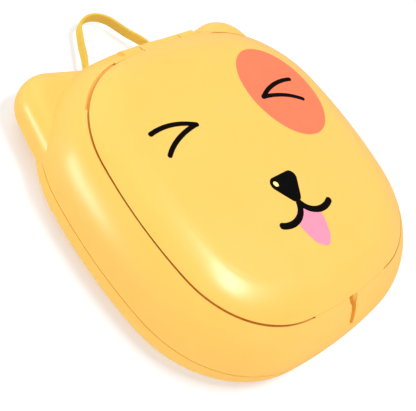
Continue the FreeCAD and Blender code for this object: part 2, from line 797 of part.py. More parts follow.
liner_inset = size("well_inset") + fit_gap + fit_gap / 2
liner_panel = squircle_prism("LinerPanel", liner_inset, size("liner_level"), liner_top)
ring_radius = size("earpiece_radius") + fit_gap / 2
ring_outer = disc(
    "EarpieceRing", zero, size("earpiece_y"), size("liner_level"), ring_radius + size("earpiece_ring_wall"),
    size("liner_thickness") + size("earpiece_ring_height"))
liner_solid = fuse("LinerSolid", [liner_panel, ring_outer])
ring_room = disc(
    "EarpieceRoom", zero, size("earpiece_y"), liner_top, ring_radius, size("earpiece_ring_height") + CUT_OVER)
hinge_side = box(
    "LinerHingeSide", zero, half_height, size("liner_level") - CUT_OVER, size("body_width"),
    2 * (size("well_inset") + size("liner_hinge_relief")), size("liner_thickness") + 2 * CUT_OVER)
GRILLE_HOLES = 8
grille = [disc(
    "GrilleCentre", zero, size("earpiece_y"), zero, size("grille_hole_radius"), liner_top + CUT_OVER)]
for n in range(GRILLE_HOLES):
    turn = 2 * HALF_TURN * n / GRILLE_HOLES
    grille.append(disc(
        f"GrilleHole{n + 1}", math.cos(turn) * size("grille_ring_radius"),
        size("earpiece_y") + math.sin(turn) * size("grille_ring_radius"), zero,
        size("grille_hole_radius"), liner_top + CUT_OVER))
liner_screw_holes = []
for n, (sx, sy) in enumerate(CORNERS, start=1):
    hole_x = sx * lid_post_x
    hole_y = sy * lid_post_y
    liner_screw_holes.append(disc(
        f"LinerHole{n}", hole_x, hole_y, zero, size("small_shank_radius") + size("hole_gap"),
        liner_top + CUT_OVER))
    liner_screw_holes.append(disc(
        f"LinerSink{n}", hole_x, hole_y, zero, size("small_head_radius") + size("hole_gap"),
        size("liner_level") + size("small_head_height")))
    nodes[f"lid_screw_{n}"] = screw(
        f"LidScrew{n}", hole_x, hole_y, size("liner_level"), size("small_head_height"),
        size("small_head_radius"), size("small_shank_radius"),
        size("liner_thickness") - size("small_head_height") + size("small_thread_depth"))
nodes["lid_liner"] = cut("LidLiner", liner_solid, [ring_room, hinge_side] + grille + liner_screw_holes)

earpiece_top = liner_top + size("earpiece_height")
nodes["earpiece"] = disc(
    "Earpiece", zero, size("earpiece_y"), liner_top, size("earpiece_radius"), size("earpiece_height"))
foam_disc = disc(
    "FoamDisc", zero, size("earpiece_y"), earpiece_top, size("earpiece_radius"),
    size("body_depth") - wall - size("foam_squeeze_gap") - earpiece_top)
foam_bore = disc(
    "FoamBore", zero, size("earpiece_y"), earpiece_top - CUT_OVER, size("foam_bore_radius"), 3 * CUT_OVER)
nodes["earpiece_gasket"] = cut("EarpieceGasket", foam_disc, [foam_bore])
nodes["lid_magnet"] = box(
    "LidMagnet", sensor_x, sensor_y, liner_top,
    size("magnet_length"), size("magnet_width"), size("magnet_height"))

# Keys: a cap that stands through the deck and a flange that stops under it

cap_low = flange_bottom + size("key_flange")
cap_height = deck_top + size("key_rise") - cap_low


def key(name, width, height, x, y):
    """One key, with its cap rounded at the top."""
    flange = rounded_plate(
        name + "Flange", width + 2 * size("key_flange_lip"), height + 2 * size("key_flange_lip"),
        size("key_corner"), flange_bottom, size("key_flange"))
    cap = rounded_plate(
        name + "Cap", width, height, size("key_corner"), cap_low, cap_height, size("key_edge_round"))
    whole = fuse(name, [flange, cap])
    return place(whole, x, y, zero)


def key_window(name, width, height, x, y):
    """The opening in the deck that guides one key."""
    window = rounded_plate(
        name, width + 2 * size("key_window_gap"), height + 2 * size("key_window_gap"),
        size("key_corner") + size("key_window_gap"), deck_bottom - CUT_OVER, as_size(2 * CUT_OVER))
    return place(window, x, y, zero)


DIGIT_ROWS = (("1", "2", "3"), ("4", "5", "6"), ("7", "8", "9"), ("star", "0", "hash"))
key_places = []
for row, names in enumerate(DIGIT_ROWS):
    for column, label in enumerate(names):
        key_places.append((
            "key_" + label, size("digit_key_width"), size("digit_key_height"),
            (column - 1) * size("digit_pitch_x"), size("digit_top_y") - row * size("digit_pitch_y")))
for label, side in (("call", -1), ("end", 1)):
    key_places.append((
        "key_" + label, size("call_key_width"), size("call_key_height"),
        side * size("call_key_x"), size("call_key_y")))

windows = []
domes = []
for node, width, height, x, y in key_places:
    nodes[node] = key("Shape_" + node, width, height, x, y)
    windows.append(key_window("Window_" + node, width, height, x, y))
    domes.append(disc("Dome_" + node, x, y, board_top, size("dome_radius"), flange_bottom - board_top))

# Keypad deck: fits up against the rim, with posts for the board

deck_panel = common("DeckPanel", fit_core, slab("DeckLayer", deck_bottom, deck_top))
board_posts = [
    disc(f"BoardPost{n}", sx * board_screw_x, sy * size("board_screw_y"), board_top,
         size("board_post_radius"), deck_top - board_top)
    for n, (sx, sy) in enumerate(CORNERS, start=1)]
deck_solid = fuse("DeckSolid", [deck_panel] + board_posts)
hinge_room = box(
    "DeckHingeRoom", zero, hinge_y, deck_bottom - CUT_OVER, 2 * (trough_half + fit_gap),
    2 * (trough_radius + fit_gap), size("deck_thickness") + 2 * CUT_OVER)
rib_room = box(
    "DeckRibRoom", zero, -half_height, deck_bottom - CUT_OVER, size("slit_rib_width") + 2 * fit_gap,
    2 * (wall + size("slit_rib_depth") + fit_gap), size("deck_thickness") + 2 * CUT_OVER)
boss_rooms = [
    disc(f"DeckBossRoom{n}", sx * boss_x, sy * boss_y, deck_bottom - CUT_OVER,
         size("case_boss_radius") + fit_gap, size("deck_thickness") + 2 * CUT_OVER)
    for n, (sx, sy) in enumerate(CORNERS, start=1)]
mic_hole = disc(
    "MicHole", zero, mic_y, deck_bottom - CUT_OVER, size("mic_hole_radius"), as_size(2 * CUT_OVER))
deck_screw_holes = []
board_pilots = []
for n, (sx, sy) in enumerate(CORNERS, start=1):
    deck_screw_holes.append(disc(
        f"DeckHole{n}", sx * deck_screw_x, sy * size("deck_screw_y"), deck_bottom - CUT_OVER,
        size("small_shank_radius") + size("hole_gap"), as_size(2 * CUT_OVER)))
    board_pilots.append(disc(
        f"BoardPilot{n}", sx * board_screw_x, sy * size("board_screw_y"), board_bottom,
        size("small_shank_radius") + size("shank_gap"),
        size("board_thickness") + size("small_thread_depth") + size("drill_point")))
    nodes[f"deck_screw_{n}"] = screw(
        f"DeckScrew{n}", sx * deck_screw_x, sy * size("deck_screw_y"),
        deck_bottom - size("small_head_height"), size("small_head_height"), size("small_head_radius"),
        size("small_shank_radius"),
        size("deck_thickness") + size("small_thread_depth"))
    nodes[f"board_screw_{n}"] = screw(
        f"BoardScrew{n}", sx * board_screw_x, sy * size("board_screw_y"),
        board_bottom - size("small_head_height"), size("small_head_height"), size("small_head_radius"),
        size("small_shank_radius"), size("board_thickness") + size("small_thread_depth"))
nodes["keypad_deck"] = cut(
    "KeypadDeck", deck_solid,
    windows + [hinge_room, rib_room, mic_hole] + boss_rooms + deck_screw_holes + board_pilots)

# Keymat, board and what the board carries

mat_sheet = rounded_plate(
    "MatSheet", 2 * mat_half_width, mat_high_y - mat_low_y, size("key_corner"), board_top,
    size("mat_thickness"))
place(mat_sheet, zero, (mat_high_y + mat_low_y) / 2, zero)
nodes["keymat"] = fuse("Keymat", [mat_sheet] + domes)

board_blank = squircle_prism("BoardBlank", size("board_edge_inset"), board_bottom, board_top)
board_strip = box(
    "BoardStrip", zero, zero, board_bottom - CUT_OVER, size("board_width"), size("body_height"),
    size("board_thickness") + 2 * CUT_OVER)
board_plate = common("BoardPlate", board_blank, board_strip)
board_holes = [
    disc(f"BoardHole{n}", sx * board_screw_x, sy * size("board_screw_y"), board_bottom - CUT_OVER,
         size("small_shank_radius") + size("hole_gap"), as_size(2 * CUT_OVER))
    for n, (sx, sy) in enumerate(CORNERS, start=1)]
nodes["main_board"] = cut("MainBoard", board_plate, board_holes)
nodes["main_chip"] = box(
    "MainChip", half_width - size("chip_side_inset"), half_height - size("chip_top_inset"),
    board_bottom - size("chip_height"), size("chip_size"), size("chip_size"), size("chip_height"))
nodes["storage_capacitor"] = disc(
    "StorageCapacitor", size("capacitor_side_inset") - half_width, half_height - size("capacitor_top_inset"),
    board_bottom - size("capacitor_height"), size("capacitor_radius"), size("capacitor_height"))
nodes["lid_sensor"] = box(
    "LidSensor", sensor_x, sensor_y, board_bottom - size("sensor_depth"),
    size("sensor_width"), size("sensor_height"), size("sensor_depth"))
nodes["microphone"] = disc(
    "Microphone", zero, mic_y, board_top, size("mic_radius"), size("mic_height"))
nodes["ringer"] = disc(
    "Ringer", zero, size("ringer_y"), board_bottom - size("ringer_height"),
    size("ringer_radius"), size("ringer_height"))

# Back cover: shallow tray with the cell bay, screw bosses, ringer surround and loop slots

cover_room = common("CoverRoom", inner, slab("CoverRoomLayer", zero, back_seam))
cover_tray = cut("CoverTray", cover_form, [cover_room])
door_top = size("door_recess") + size("door_thickness")
cell_z = door_top + size("cell_gap") + size("cell_radius")
bay_top = cell_z + size("cell_radius") + size("cell_gap")
bay_block = box(
    "BayBlock", zero, size("cell_bay_y"), door_top, bay_length + 2 * size("bay_wall"),
    bay_width + 2 * size("bay_wall"), bay_top + size("bay_wall") / 2 - door_top)
tab_reach = bay_width / 2 + size("bay_wall") + size("door_tab_length") / 2
tab_places = [(n, size("cell_bay_y") + side * tab_reach) for n, side in enumerate((1, -1), start=1)]
door_bosses = [
    disc(f"DoorBoss{n}", zero, y, door_top, size("door_boss_radius"), size("door_boss_height"))
    for n, y in tab_places]
ringer_inner = size("ringer_radius") + fit_gap
ringer_tube_top = board_bottom - size("ringer_height") + size("ringer_lap")
ringer_tube = disc(
    "RingerTube", zero, size("ringer_y"), wall / 2, ringer_inner + size("ringer_wall"),
    ringer_tube_top - wall / 2)
cover_bosses = [
    disc(f"CoverBoss{n}", sx * boss_x, sy * boss_y, wall / 2,
         size("case_head_radius") + size("hole_gap") + wall / 2, back_seam - wall / 2)
    for n, (sx, sy) in enumerate(CORNERS, start=1)]
bosses_inside = common("BossesInside", fuse("CoverBosses", cover_bosses), cover_form)
loop_lugs = []
for number, side in enumerate((1, -1), start=1):
    loop_lug = doc.addObject("Part::Sphere", f"LoopLug{number}")
    bind(loop_lug, "Radius", size("lug_radius"))
    place(
        loop_lug, side * (loop_foot_x + size("lug_offset")),
        half_height + size("lug_rise") - size("lug_radius"), size("lug_level"))
    loop_lugs.append(loop_lug)
cover_solid = fuse(
    "CoverSolid", [cover_tray, bay_block, ringer_tube, bosses_inside] + door_bosses + loop_lugs)

bay_room = box(
    "BayRoom", zero, size("cell_bay_y"), door_top - CUT_OVER, bay_length, bay_width,
    bay_top - door_top + CUT_OVER)
door_length = bay_length + 2 * size("door_lap")
door_width = bay_width + 2 * size("door_lap")


def door_outline(name, clearance, low_z, thickness):
    """The door's plan: a plate with a screw tab at each long edge, grown by a clearance."""
    plate = box(
        name + "Plate", zero, size("cell_bay_y"), low_z, door_length + 2 * clearance,
        door_width + 2 * clearance, thickness)
    tongue = box(
        name + "Tongue", zero, size("cell_bay_y"), low_z, size("door_tab_width") + 2 * clearance,
        2 * tab_reach + size("door_tab_length") + 2 * clearance, thickness)
    return fuse(name, [plate, tongue])


door_room = door_outline("DoorRoom", size("door_gap"), door_top - CUT_OVER, as_size(CUT_OVER))
door_pilots = [
    disc(f"DoorPilot{n}", zero, y, zero, size("small_shank_radius") + size("shank_gap"),
         door_top + size("small_thread_depth") + size("drill_point"))
    for n, y in tab_places]
ringer_room = disc(
    "RingerRoom", zero, size("ringer_y"), wall, ringer_inner, ringer_tube_top + CUT_OVER)
ringer_slots = [
    box(f"RingerSlot{n + 3}", n * size("ringer_slot_pitch"), size("ringer_y"), -as_size(CUT_OVER),
        size("ringer_slot_width"), size("ringer_slot_length"), wall + 2 * CUT_OVER)
    for n in range(-2, 3)]
head_seat = size("case_head_recess") + size("case_head_height")
cover_holes = []
for n, (sx, sy) in enumerate(CORNERS, start=1):
    cover_holes.append(disc(
        f"CoverHole{n}", sx * boss_x, sy * boss_y, zero, size("case_shank_radius") + size("hole_gap"),
        back_seam + CUT_OVER))
    cover_holes.append(disc(
        f"CoverSink{n}", sx * boss_x, sy * boss_y, -as_size(CUT_OVER),
        size("case_head_radius") + size("hole_gap"), head_seat + CUT_OVER))
    nodes[f"case_screw_{n}"] = screw(
        f"CaseScrew{n}", sx * boss_x, sy * boss_y, size("case_head_recess"), size("case_head_height"),
        size("case_head_radius"), size("case_shank_radius"),
        back_seam - head_seat + size("case_thread_depth"))

# Carry loop: a flat ribbon bent to an arch, its ends held behind the top wall by beads


def ribbon(name, thickness, width):
    """The arch of the ribbon: a round top and two straight splayed legs."""
    body = new_body(name)
    thickness = as_size(thickness)
    width = as_size(width)
    sketch = new_sketch(body, name + "Outline", level=size("loop_level") - width / 2)
    centre = half_height + size("loop_apex_rise") - size("loop_bend_radius")
    foot = (loop_foot_x, half_height - size("loop_foot_drop"))
    away_x = foot[0].value
    away_y = foot[1].value - centre.value
    away = math.hypot(away_x, away_y)
    touch = math.atan2(away_y, away_x) + math.acos(size("loop_bend_radius").value / away)
    outer_radius = size("loop_bend_radius") + thickness / 2
    inner_radius = size("loop_bend_radius") - thickness / 2
    across = (math.cos(touch), math.sin(touch))

    def leg_point(radius, at_foot, side):
        """A point of a leg's edge, on the bend or at the foot, on the right (1) or left (-1)."""
        if at_foot:
            step = radius - size("loop_bend_radius").value
            return (side * (foot[0].value + step * across[0]), foot[1].value + step * across[1])
        return (side * radius * across[0], centre.value + radius * across[1])

    big, small = outer_radius.value, inner_radius.value
    sketch.addGeometry([
        arc(0, centre.value, big, touch, HALF_TURN - touch),
        line(leg_point(big, False, -1), leg_point(big, True, -1)),
        line(leg_point(big, True, -1), leg_point(small, True, -1)),
        line(leg_point(small, True, -1), leg_point(small, False, -1)),
        arc(0, centre.value, small, touch, HALF_TURN - touch),
        line(leg_point(small, False, 1), leg_point(small, True, 1)),
        line(leg_point(small, True, 1), leg_point(big, True, 1)),
        line(leg_point(big, True, 1), leg_point(big, False, 1)),
    ], False)
    relate(sketch, "Tangent", 0, 2, 1, 1)
    relate(sketch, "Coincident", 1, 2, 2, 1)
    relate(sketch, "Coincident", 2, 2, 3, 1)
    relate(sketch, "Tangent", 3, 2, 4, 2)
    relate(sketch, "Tangent", 4, 1, 5, 1)
    relate(sketch, "Coincident", 5, 2, 6, 1)
    relate(sketch, "Coincident", 6, 2, 7, 1)
    relate(sketch, "Tangent", 7, 2, 0, 1)
    relate(sketch, "Coincident", 0, 3, 4, 3)
    relate(sketch, "PointOnObject", 0, 3, -2)
    relate(sketch, "Symmetric", 1, 2, 6, 2, -2)
    relate(sketch, "Parallel", 1, 3)
    relate(sketch, "Parallel", 5, 7)
    relate(sketch, "Perpendicular", 1, 2)
    relate(sketch, "Perpendicular", 6, 7)
    dimension(sketch, "bend_centre", "DistanceY", -1, 1, 0, 3, value=centre)
    dimension(sketch, "outer_bend", "Radius", 0, value=outer_radius)
    dimension(sketch, "inner_bend", "Radius", 4, value=inner_radius)
    foot_edge = leg_point(big, True, 1)
    foot_x = foot[0] + (foot_edge[0] - foot[0].value)
    foot_y = foot[1] + (foot_edge[1] - foot[1].value)
    point_at(sketch, "foot", 6, 2, foot_x, foot_y)
    pad(body, name + "Pad", sketch, width)
    return body


loop_strip = ribbon("LoopStrip", size("loop_thickness"), size("loop_width"))
loop_beads = [
    disc(f"LoopBead{n}", side * loop_foot_x, half_height - size("loop_foot_drop"),
         size("loop_level") - size("loop_width") / 2, size("loop_bead_radius"), size("loop_width"))
    for n, side in enumerate((1, -1), start=1)]
nodes["carry_loop"] = fuse("CarryLoop", [loop_strip] + loop_beads)
loop_slots = ribbon(
    "LoopSlots", size("loop_thickness") + 2 * size("loop_slot_gap"),
    size("loop_width") + 2 * size("loop_slot_gap"))

nodes["back_cover"] = cut(
    "BackCover", cover_solid,
    [bay_room, door_room, ringer_room, loop_slots] + door_pilots + ringer_slots + cover_holes)

# Battery door, its screws, the cells and their contacts

door_plate = door_outline("DoorPlate", zero, size("door_recess"), size("door_thickness"))
door_holes = []
for n, y in tab_places:
    door_holes.append(disc(
        f"DoorHole{n}", zero, y, zero, size("small_shank_radius") + size("hole_gap"), door_top + CUT_OVER))
    door_holes.append(disc(
        f"DoorSink{n}", zero, y, zero, size("small_head_radius") + size("hole_gap"),
        size("door_recess") + size("small_head_height")))
    nodes[f"door_screw_{n}"] = screw(
        f"DoorScrew{n}", zero, y, size("door_recess"), size("small_head_height"), size("small_head_radius"),
        size("small_shank_radius"),
        size("door_thickness") - size("small_head_height") + size("small_thread_depth"))
nodes["battery_door"] = cut("BatteryDoor", door_plate, door_holes)

cell_pitch = 2 * size("cell_radius") + size("cell_gap")
bay_half = bay_length / 2
spring_length = size("bay_end_room") - size("contact_thickness")
contact_groups = {"contact_pair_left": [], "contact_single_left": [],
                  "contact_pair_right": [], "contact_single_right": []}
for n in range(3):
    cell_y = size("cell_bay_y") + (n - 1) * cell_pitch
    way = 1 if n % 2 == 0 else -1
    can_length = size("cell_length") - size("cell_nub_length")
    can_low = -size("cell_length") / 2 if way == 1 else size("cell_nub_length") - size("cell_length") / 2
    can = rod(f"CellCan{n + 1}", can_low, cell_y, cell_z, size("cell_radius"), can_length)
    nub = rod(
        f"CellNub{n + 1}", -size("cell_length") / 2 if way == -1 else zero, cell_y, cell_z,
        size("cell_nub_radius"), size("cell_length") / 2)
    nodes[f"battery_cell_{n + 1}"] = fuse(f"BatteryCell{n + 1}", [can, nub])
    for side, label in ((-1, "left"), (1, "right")):
        spring = doc.addObject("Part::Cone", f"ContactSpring{n + 1}{label}")
        spring.Placement = FreeCAD.Placement(
            FreeCAD.Vector(), FreeCAD.Rotation(FreeCAD.Vector(0, 1, 0), -90 * side))
        bind(spring, "Radius1", size("spring_base_radius"))
        bind(spring, "Radius2", size("spring_tip_radius"))
        bind(spring, "Height", spring_length)
        place(spring, side * (bay_half - size("contact_thickness")), cell_y, cell_z)
        alone = (side == -1 and n == 2) or (side == 1 and n == 0)
        contact_groups[("contact_single_" if alone else "contact_pair_") + label].append((n, spring))

for node, members in contact_groups.items():
    side = -1 if node.endswith("left") else 1
    middle = sum(n for n, spring in members) / len(members) - 1
    strip_width = (len(members) - 1) * cell_pitch + 2 * (size("cell_radius") - size("contact_edge"))
    strip = box(
        "Strip_" + node, side * (bay_half - size("contact_thickness") / 2),
        size("cell_bay_y") + middle * cell_pitch, cell_z - size("contact_height") / 2,
        size("contact_thickness"), strip_width, size("contact_height"))
    nodes[node] = fuse("Shape_" + node, [strip] + [spring for n, spring in members])

doc.recompute()

# Check every object, then write one file for each sub-part

for item in doc.Objects:
    if "Invalid" in item.State or "Error" in item.State:
        raise RuntimeError(f"{item.Name} did not build: {item.State}")

os.makedirs("parts", exist_ok=True)
for node, item in nodes.items():
    item.Label = node
    if item.Shape.isNull() or not item.Shape.isValid():
        raise RuntimeError(f"{node} has no valid shape")
    item.Shape.exportStep(f"parts/{node}.step")
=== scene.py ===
"""Dresses a flip-lid telephone that is shaped as a puppy face.

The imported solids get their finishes. The printed face, key legends, cross screws and soft ribbon are added.
"""

import logging
import math
from abc import ABC, abstractmethod
from collections.abc import Iterator, Mapping
from dataclasses import dataclass
from enum import Enum

import bpy
import numpy as np
from mathutils import Matrix, Quaternion, Vector


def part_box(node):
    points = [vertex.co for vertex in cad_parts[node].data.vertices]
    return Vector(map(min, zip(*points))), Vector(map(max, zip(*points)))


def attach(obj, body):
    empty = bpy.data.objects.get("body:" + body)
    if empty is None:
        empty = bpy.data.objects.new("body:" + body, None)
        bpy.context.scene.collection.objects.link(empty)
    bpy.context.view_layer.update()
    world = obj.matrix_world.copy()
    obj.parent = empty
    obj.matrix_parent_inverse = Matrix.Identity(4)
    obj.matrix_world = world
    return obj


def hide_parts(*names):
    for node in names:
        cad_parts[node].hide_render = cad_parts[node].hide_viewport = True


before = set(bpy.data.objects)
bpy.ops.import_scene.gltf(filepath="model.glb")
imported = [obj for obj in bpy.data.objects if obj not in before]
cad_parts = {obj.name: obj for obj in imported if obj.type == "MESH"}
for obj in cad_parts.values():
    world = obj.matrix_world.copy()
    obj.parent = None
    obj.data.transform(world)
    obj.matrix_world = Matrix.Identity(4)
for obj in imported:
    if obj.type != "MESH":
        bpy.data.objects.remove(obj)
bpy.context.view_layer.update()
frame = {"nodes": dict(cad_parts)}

MM = 0.001
FULL_TURN = 2 * math.pi
SHARP_ANGLE = math.radians(45)
WELD_REACH = 0.0005 * MM
NOISE_MIDDLE = 0.5
NOISE_ROUGHNESS = 0.55
DISPLAY_WHITE = 255.0
DISPLAY_KNEE = 0.04045
DISPLAY_SLOPE = 12.92
DISPLAY_OFFSET = 0.055
DISPLAY_POWER = 2.4
Array = np.ndarray
Material = bpy.types.Material
Piece = bpy.types.Object
Colour = tuple[float, float, float]
Place = tuple[float, float, float]
Direction = tuple[float, float, float]
Circle = tuple[float, float, float]
Point = tuple[float, float]
Curve = tuple[Point, Point, Point, Point]
Values = Mapping[object, object] | None

log = logging.getLogger("puppy_telephone")


class Slot(Enum):
    """The record's material slots."""

    YELLOW_CASE = "yellow_case"
    CREAM_PANEL = "cream_panel"
    WHITE_KEY = "white_key"
    CORAL_KEY = "coral_key"
    PINK_KEY = "pink_key"
    LOOP_RUBBER = "loop_rubber"
    GREY_SILICONE = "grey_silicone"
    BLACK_FOAM = "black_foam"
    CELL_WRAP = "cell_wrap"
    NICKEL_CONTACT = "nickel_contact"
    GREEN_BOARD = "green_board"
    BLACK_COMPONENT = "black_component"
    CAPSULE_CAN = "capsule_can"
    MAGNET = "magnet"
    SCREW_STEEL = "screw_steel"


class Side(Enum):
    """The two halves of the face, as the sign of x."""

    LEFT = -1
    RIGHT = 1


class Wire:
    """One output of a shader node. Arithmetic on wires adds Math nodes to the same sheet."""

    def __init__(self, sheet: "NodeSheet", socket: bpy.types.NodeSocket) -> None:
        """Hold a socket and the sheet that it is on."""
        self.sheet = sheet
        self.socket = socket

    def _math(self, operation: str, first: "Wire | float", second: "Wire | float") -> "Wire":
        """Return a wire from one Math node that works on two values."""
        return self.sheet.wire("ShaderNodeMath", {"operation": operation}, {0: first, 1: second})

    def __add__(self, other: "Wire | float") -> "Wire":
        """Add a wire or a number, in either order."""
        return self._math("ADD", self, other)

    __radd__ = __add__

    def __sub__(self, other: "Wire | float") -> "Wire":
        """Take away a wire or a number."""
        return self._math("SUBTRACT", self, other)

    def __rsub__(self, other: float) -> "Wire":
        """Take away from a number."""
        return self._math("SUBTRACT", other, self)

    def __mul__(self, other: "Wire | float") -> "Wire":
        """Multiply by a wire or a number, in either order."""
        return self._math("MULTIPLY", self, other)

    __rmul__ = __mul__

    def blend(self, other: "Wire", share: float) -> "Wire":
        """Return the wire with a share of another one mixed in."""
        return self * (1 - share) + other * share

    def above(self, level: float, softness: float) -> "Wire":
        """Return a mask that rises from 0 to 1 over a soft step.

        Args:
            level: Value at which the mask is a half.
            softness: Width of the step.

        Returns:
            The mask.
        """
        inputs = {"Value": self, "From Min": level - softness / 2, "From Max": level + softness / 2}
        return self.sheet.wire("ShaderNodeMapRange", {"interpolation_type": "SMOOTHSTEP"}, inputs)


class NodeSheet:
    """A node tree to which nodes and links are added."""

    def __init__(self, owner: Material | bpy.types.World) -> None:
        """Empty the node tree of a material or a world.

        Args:
            owner: The material or the world.
        """
        owner.use_nodes = True
        self.tree = owner.node_tree
        self.tree.nodes.clear()

    def node(self, kind: str, settings: Values = None, inputs: Values = None) -> bpy.types.Node:
        """Add one node.

        Args:
            kind: The node's type name.
            settings: Properties that are set first.
            inputs: Values or wires for its sockets, by name or number.

        Returns:
            The node.
        """
        made = self.tree.nodes.new(kind)
        for name, value in (settings or {}).items():
            setattr(made, name, value)
        for key, value in (inputs or {}).items():
            self.feed(made.inputs[key], value)
        return made

    def feed(self, socket: bpy.types.NodeSocket, value: object) -> None:
        """Link a wire to a socket, or set the socket's own value.

        Args:
            socket: The socket.
            value: The wire or the value.
        """
        if isinstance(value, Wire):
            self.tree.links.new(value.socket, socket)
        else:
            socket.default_value = value

    def wire(self, kind: str, settings: Values = None, inputs: Values = None, output: int | str = 0) -> Wire:
        """Add one node and return one of its outputs.

        Args:
            kind: The node's type name.
            settings: Properties that are set first.
            inputs: Values or wires for its sockets, by name or number.
            output: Name or number of the output.

        Returns:
            The output as a wire.
        """
        return Wire(self, self.node(kind, settings, inputs).outputs[output])


class ShaderSheet(NodeSheet):
    """The node tree of one material round a principled shader."""

    def __init__(self, name: str) -> None:
        """Start a material with a plain principled shader.

        Args:
            name: The material's name.
        """
        self.material = bpy.data.materials.new(name)
        super().__init__(self.material)
        self.shader = self.node("ShaderNodeBsdfPrincipled")
        self.node("ShaderNodeOutputMaterial", inputs={"Surface": Wire(self, self.shader.outputs[0])})
        self.place = self.wire("ShaderNodeTexCoord", output="Object")

    def noise(self, size: float, detail: float = 2.0) -> Wire:
        """Return a noise value around one half, with features of a size in metres."""
        inputs = {"Vector": self.place, "Scale": 1.0 / size, "Detail": detail, "Roughness": NOISE_ROUGHNESS}
        return self.wire("ShaderNodeTexNoise", inputs=inputs, output="Fac")

    def mix(self, share: Wire, first: Colour, second: Colour) -> Wire:
        """Return a colour between two colours.

        Args:
            share: How much of the second colour there is.
            first: The colour where the share is 0.
            second: The colour where the share is 1.

        Returns:
            The mixed colour.
        """
        node = self.node("ShaderNodeMix", {"data_type": "RGBA"}, {0: share})
        colours = [socket for socket in node.inputs if socket.type == "RGBA"]
        for socket, colour in zip(colours, (first, second)):
            self.feed(socket, (*colour, 1.0))
        return Wire(self, next(socket for socket in node.outputs if socket.type == "RGBA"))

    def bump(self, height: Wire, distance: float) -> Wire:
        """Return a normal that follows a height of up to a distance in metres."""
        return self.wire("ShaderNodeBump", inputs={"Height": height, "Distance": distance, "Strength": 1.0})

    def surface(self, **values: object) -> Material:
        """Set the shader's sockets.

        Args:
            values: Values or wires by socket name, with an underscore for each space.

        Returns:
            The finished material.
        """
        for name, value in values.items():
            self.feed(self.shader.inputs[name.replace("_", " ")], value)
        return self.material


def tone(*display: float) -> Colour:
    """Return the linear colour of a display colour.

    Up to the knee the display's curve is a straight line. Above it, it is a power of the shifted value.

    Args:
        display: The colour's red, green and blue, from 0 to 255.

    Returns:
        The colour as linear light.
    """
    shares = np.array(display) / DISPLAY_WHITE
    curved = ((shares + DISPLAY_OFFSET) / (1 + DISPLAY_OFFSET)) ** DISPLAY_POWER
    linear = np.where(shares <= DISPLAY_KNEE, shares / DISPLAY_SLOPE, curved)
    return tuple(float(value) for value in linear)


@dataclass(frozen=True)
class Finish(ABC):
    """A finish with two colours, which mix over the surface, and a gloss that wanders a little."""

    name: str
    colour: Colour
    second: Colour
    roughness: float

    @abstractmethod
    def material(self) -> Material:
        """Return the finish as a material."""


@dataclass(frozen=True)
class MouldedPlastic(Finish):
    """A moulded plastic: pigment clouds with specks, and a finely eroded skin."""

    skin_size: float = 0.45 * MM
    skin_height: float = 0.004 * MM
    coat: float = 0.0
    coat_roughness: float = 0.27
    glow: float = 0.0
    glow_reach: Colour = (1.0, 0.55, 0.12)
    glow_depth: float = 1.6 * MM
    sheen: float = 0.5
    cloud_size: float = 24 * MM
    cloud_softness: float = 0.5
    cloud_gloss: float = 0.08
    cloud_height: float = 1.5
    speck_size: float = 1.6 * MM
    speck_share: float = 0.3
    skin_gloss: float = 0.06

    def material(self) -> Material:
        """Return the plastic as a material.

        Returns:
            The material.
        """
        sheet = ShaderSheet(self.name)
        clouds = sheet.noise(self.cloud_size, detail=3.0)
        specks = sheet.noise(self.speck_size)
        skin = sheet.noise(self.skin_size)
        pigment = clouds.blend(specks, self.speck_share).above(NOISE_MIDDLE, self.cloud_softness)
        cloud_gloss = (clouds - NOISE_MIDDLE) * self.cloud_gloss
        skin_gloss = (skin - NOISE_MIDDLE) * self.skin_gloss
        return sheet.surface(
            Base_Color=sheet.mix(pigment, self.colour, self.second),
            Roughness=self.roughness + cloud_gloss + skin_gloss,
            Normal=sheet.bump(skin + clouds * self.cloud_height, self.skin_height),
            Specular_IOR_Level=self.sheen,
            Coat_Weight=self.coat,
            Coat_Roughness=self.coat_roughness,
            Subsurface_Weight=self.glow,
            Subsurface_Radius=self.glow_reach,
            Subsurface_Scale=self.glow_depth,
        )


@dataclass(frozen=True)
class PrintedInk(Finish):
    """A pad-printed ink film: dense colour, small thin spots and a satin gloss."""

    roughness: float = 0.42
    sheen: float = 0.06
    cloud_size: float = 5 * MM
    screen_size: float = 0.35 * MM
    screen_share: float = 0.4
    screen_gloss: float = 0.12
    screen_height: float = 0.002 * MM
    thin_level: float = 0.55
    thin_softness: float = 0.4

    def material(self) -> Material:
        """Return the ink as a material.

        Returns:
            The material.
        """
        sheet = ShaderSheet(self.name)
        clouds = sheet.noise(self.cloud_size, detail=3.0)
        screen = sheet.noise(self.screen_size, detail=1.0)
        thinning = clouds.blend(screen, self.screen_share).above(self.thin_level, self.thin_softness)
        return sheet.surface(
            Base_Color=sheet.mix(thinning, self.colour, self.second),
            Roughness=self.roughness + (screen - NOISE_MIDDLE) * self.screen_gloss,
            Normal=sheet.bump(screen, self.screen_height),
            Specular_IOR_Level=self.sheen,
        )


@dataclass(frozen=True)
class SoftRubber(Finish):
    """A rubber or foam: matt, with an open grain."""

    grain_size: float
    grain_height: float
    grain_gloss: float = 0.2
    cloud_size: float = 9 * MM
    cloud_share: float = 0.4
    cloud_softness: float = 0.35

    def material(self) -> Material:
        """Return the rubber as a material.

        Returns:
            The material.
        """
        sheet = ShaderSheet(self.name)
        grain = sheet.noise(self.grain_size, detail=3.0)
        clouds = sheet.noise(self.cloud_size)
        pigment = grain.blend(clouds, self.cloud_share).above(NOISE_MIDDLE, self.cloud_softness)
        return sheet.surface(
            Base_Color=sheet.mix(pigment, self.colour, self.second),
            Roughness=self.roughness + (grain - NOISE_MIDDLE) * self.grain_gloss,
            Normal=sheet.bump(grain, self.grain_height),
        )


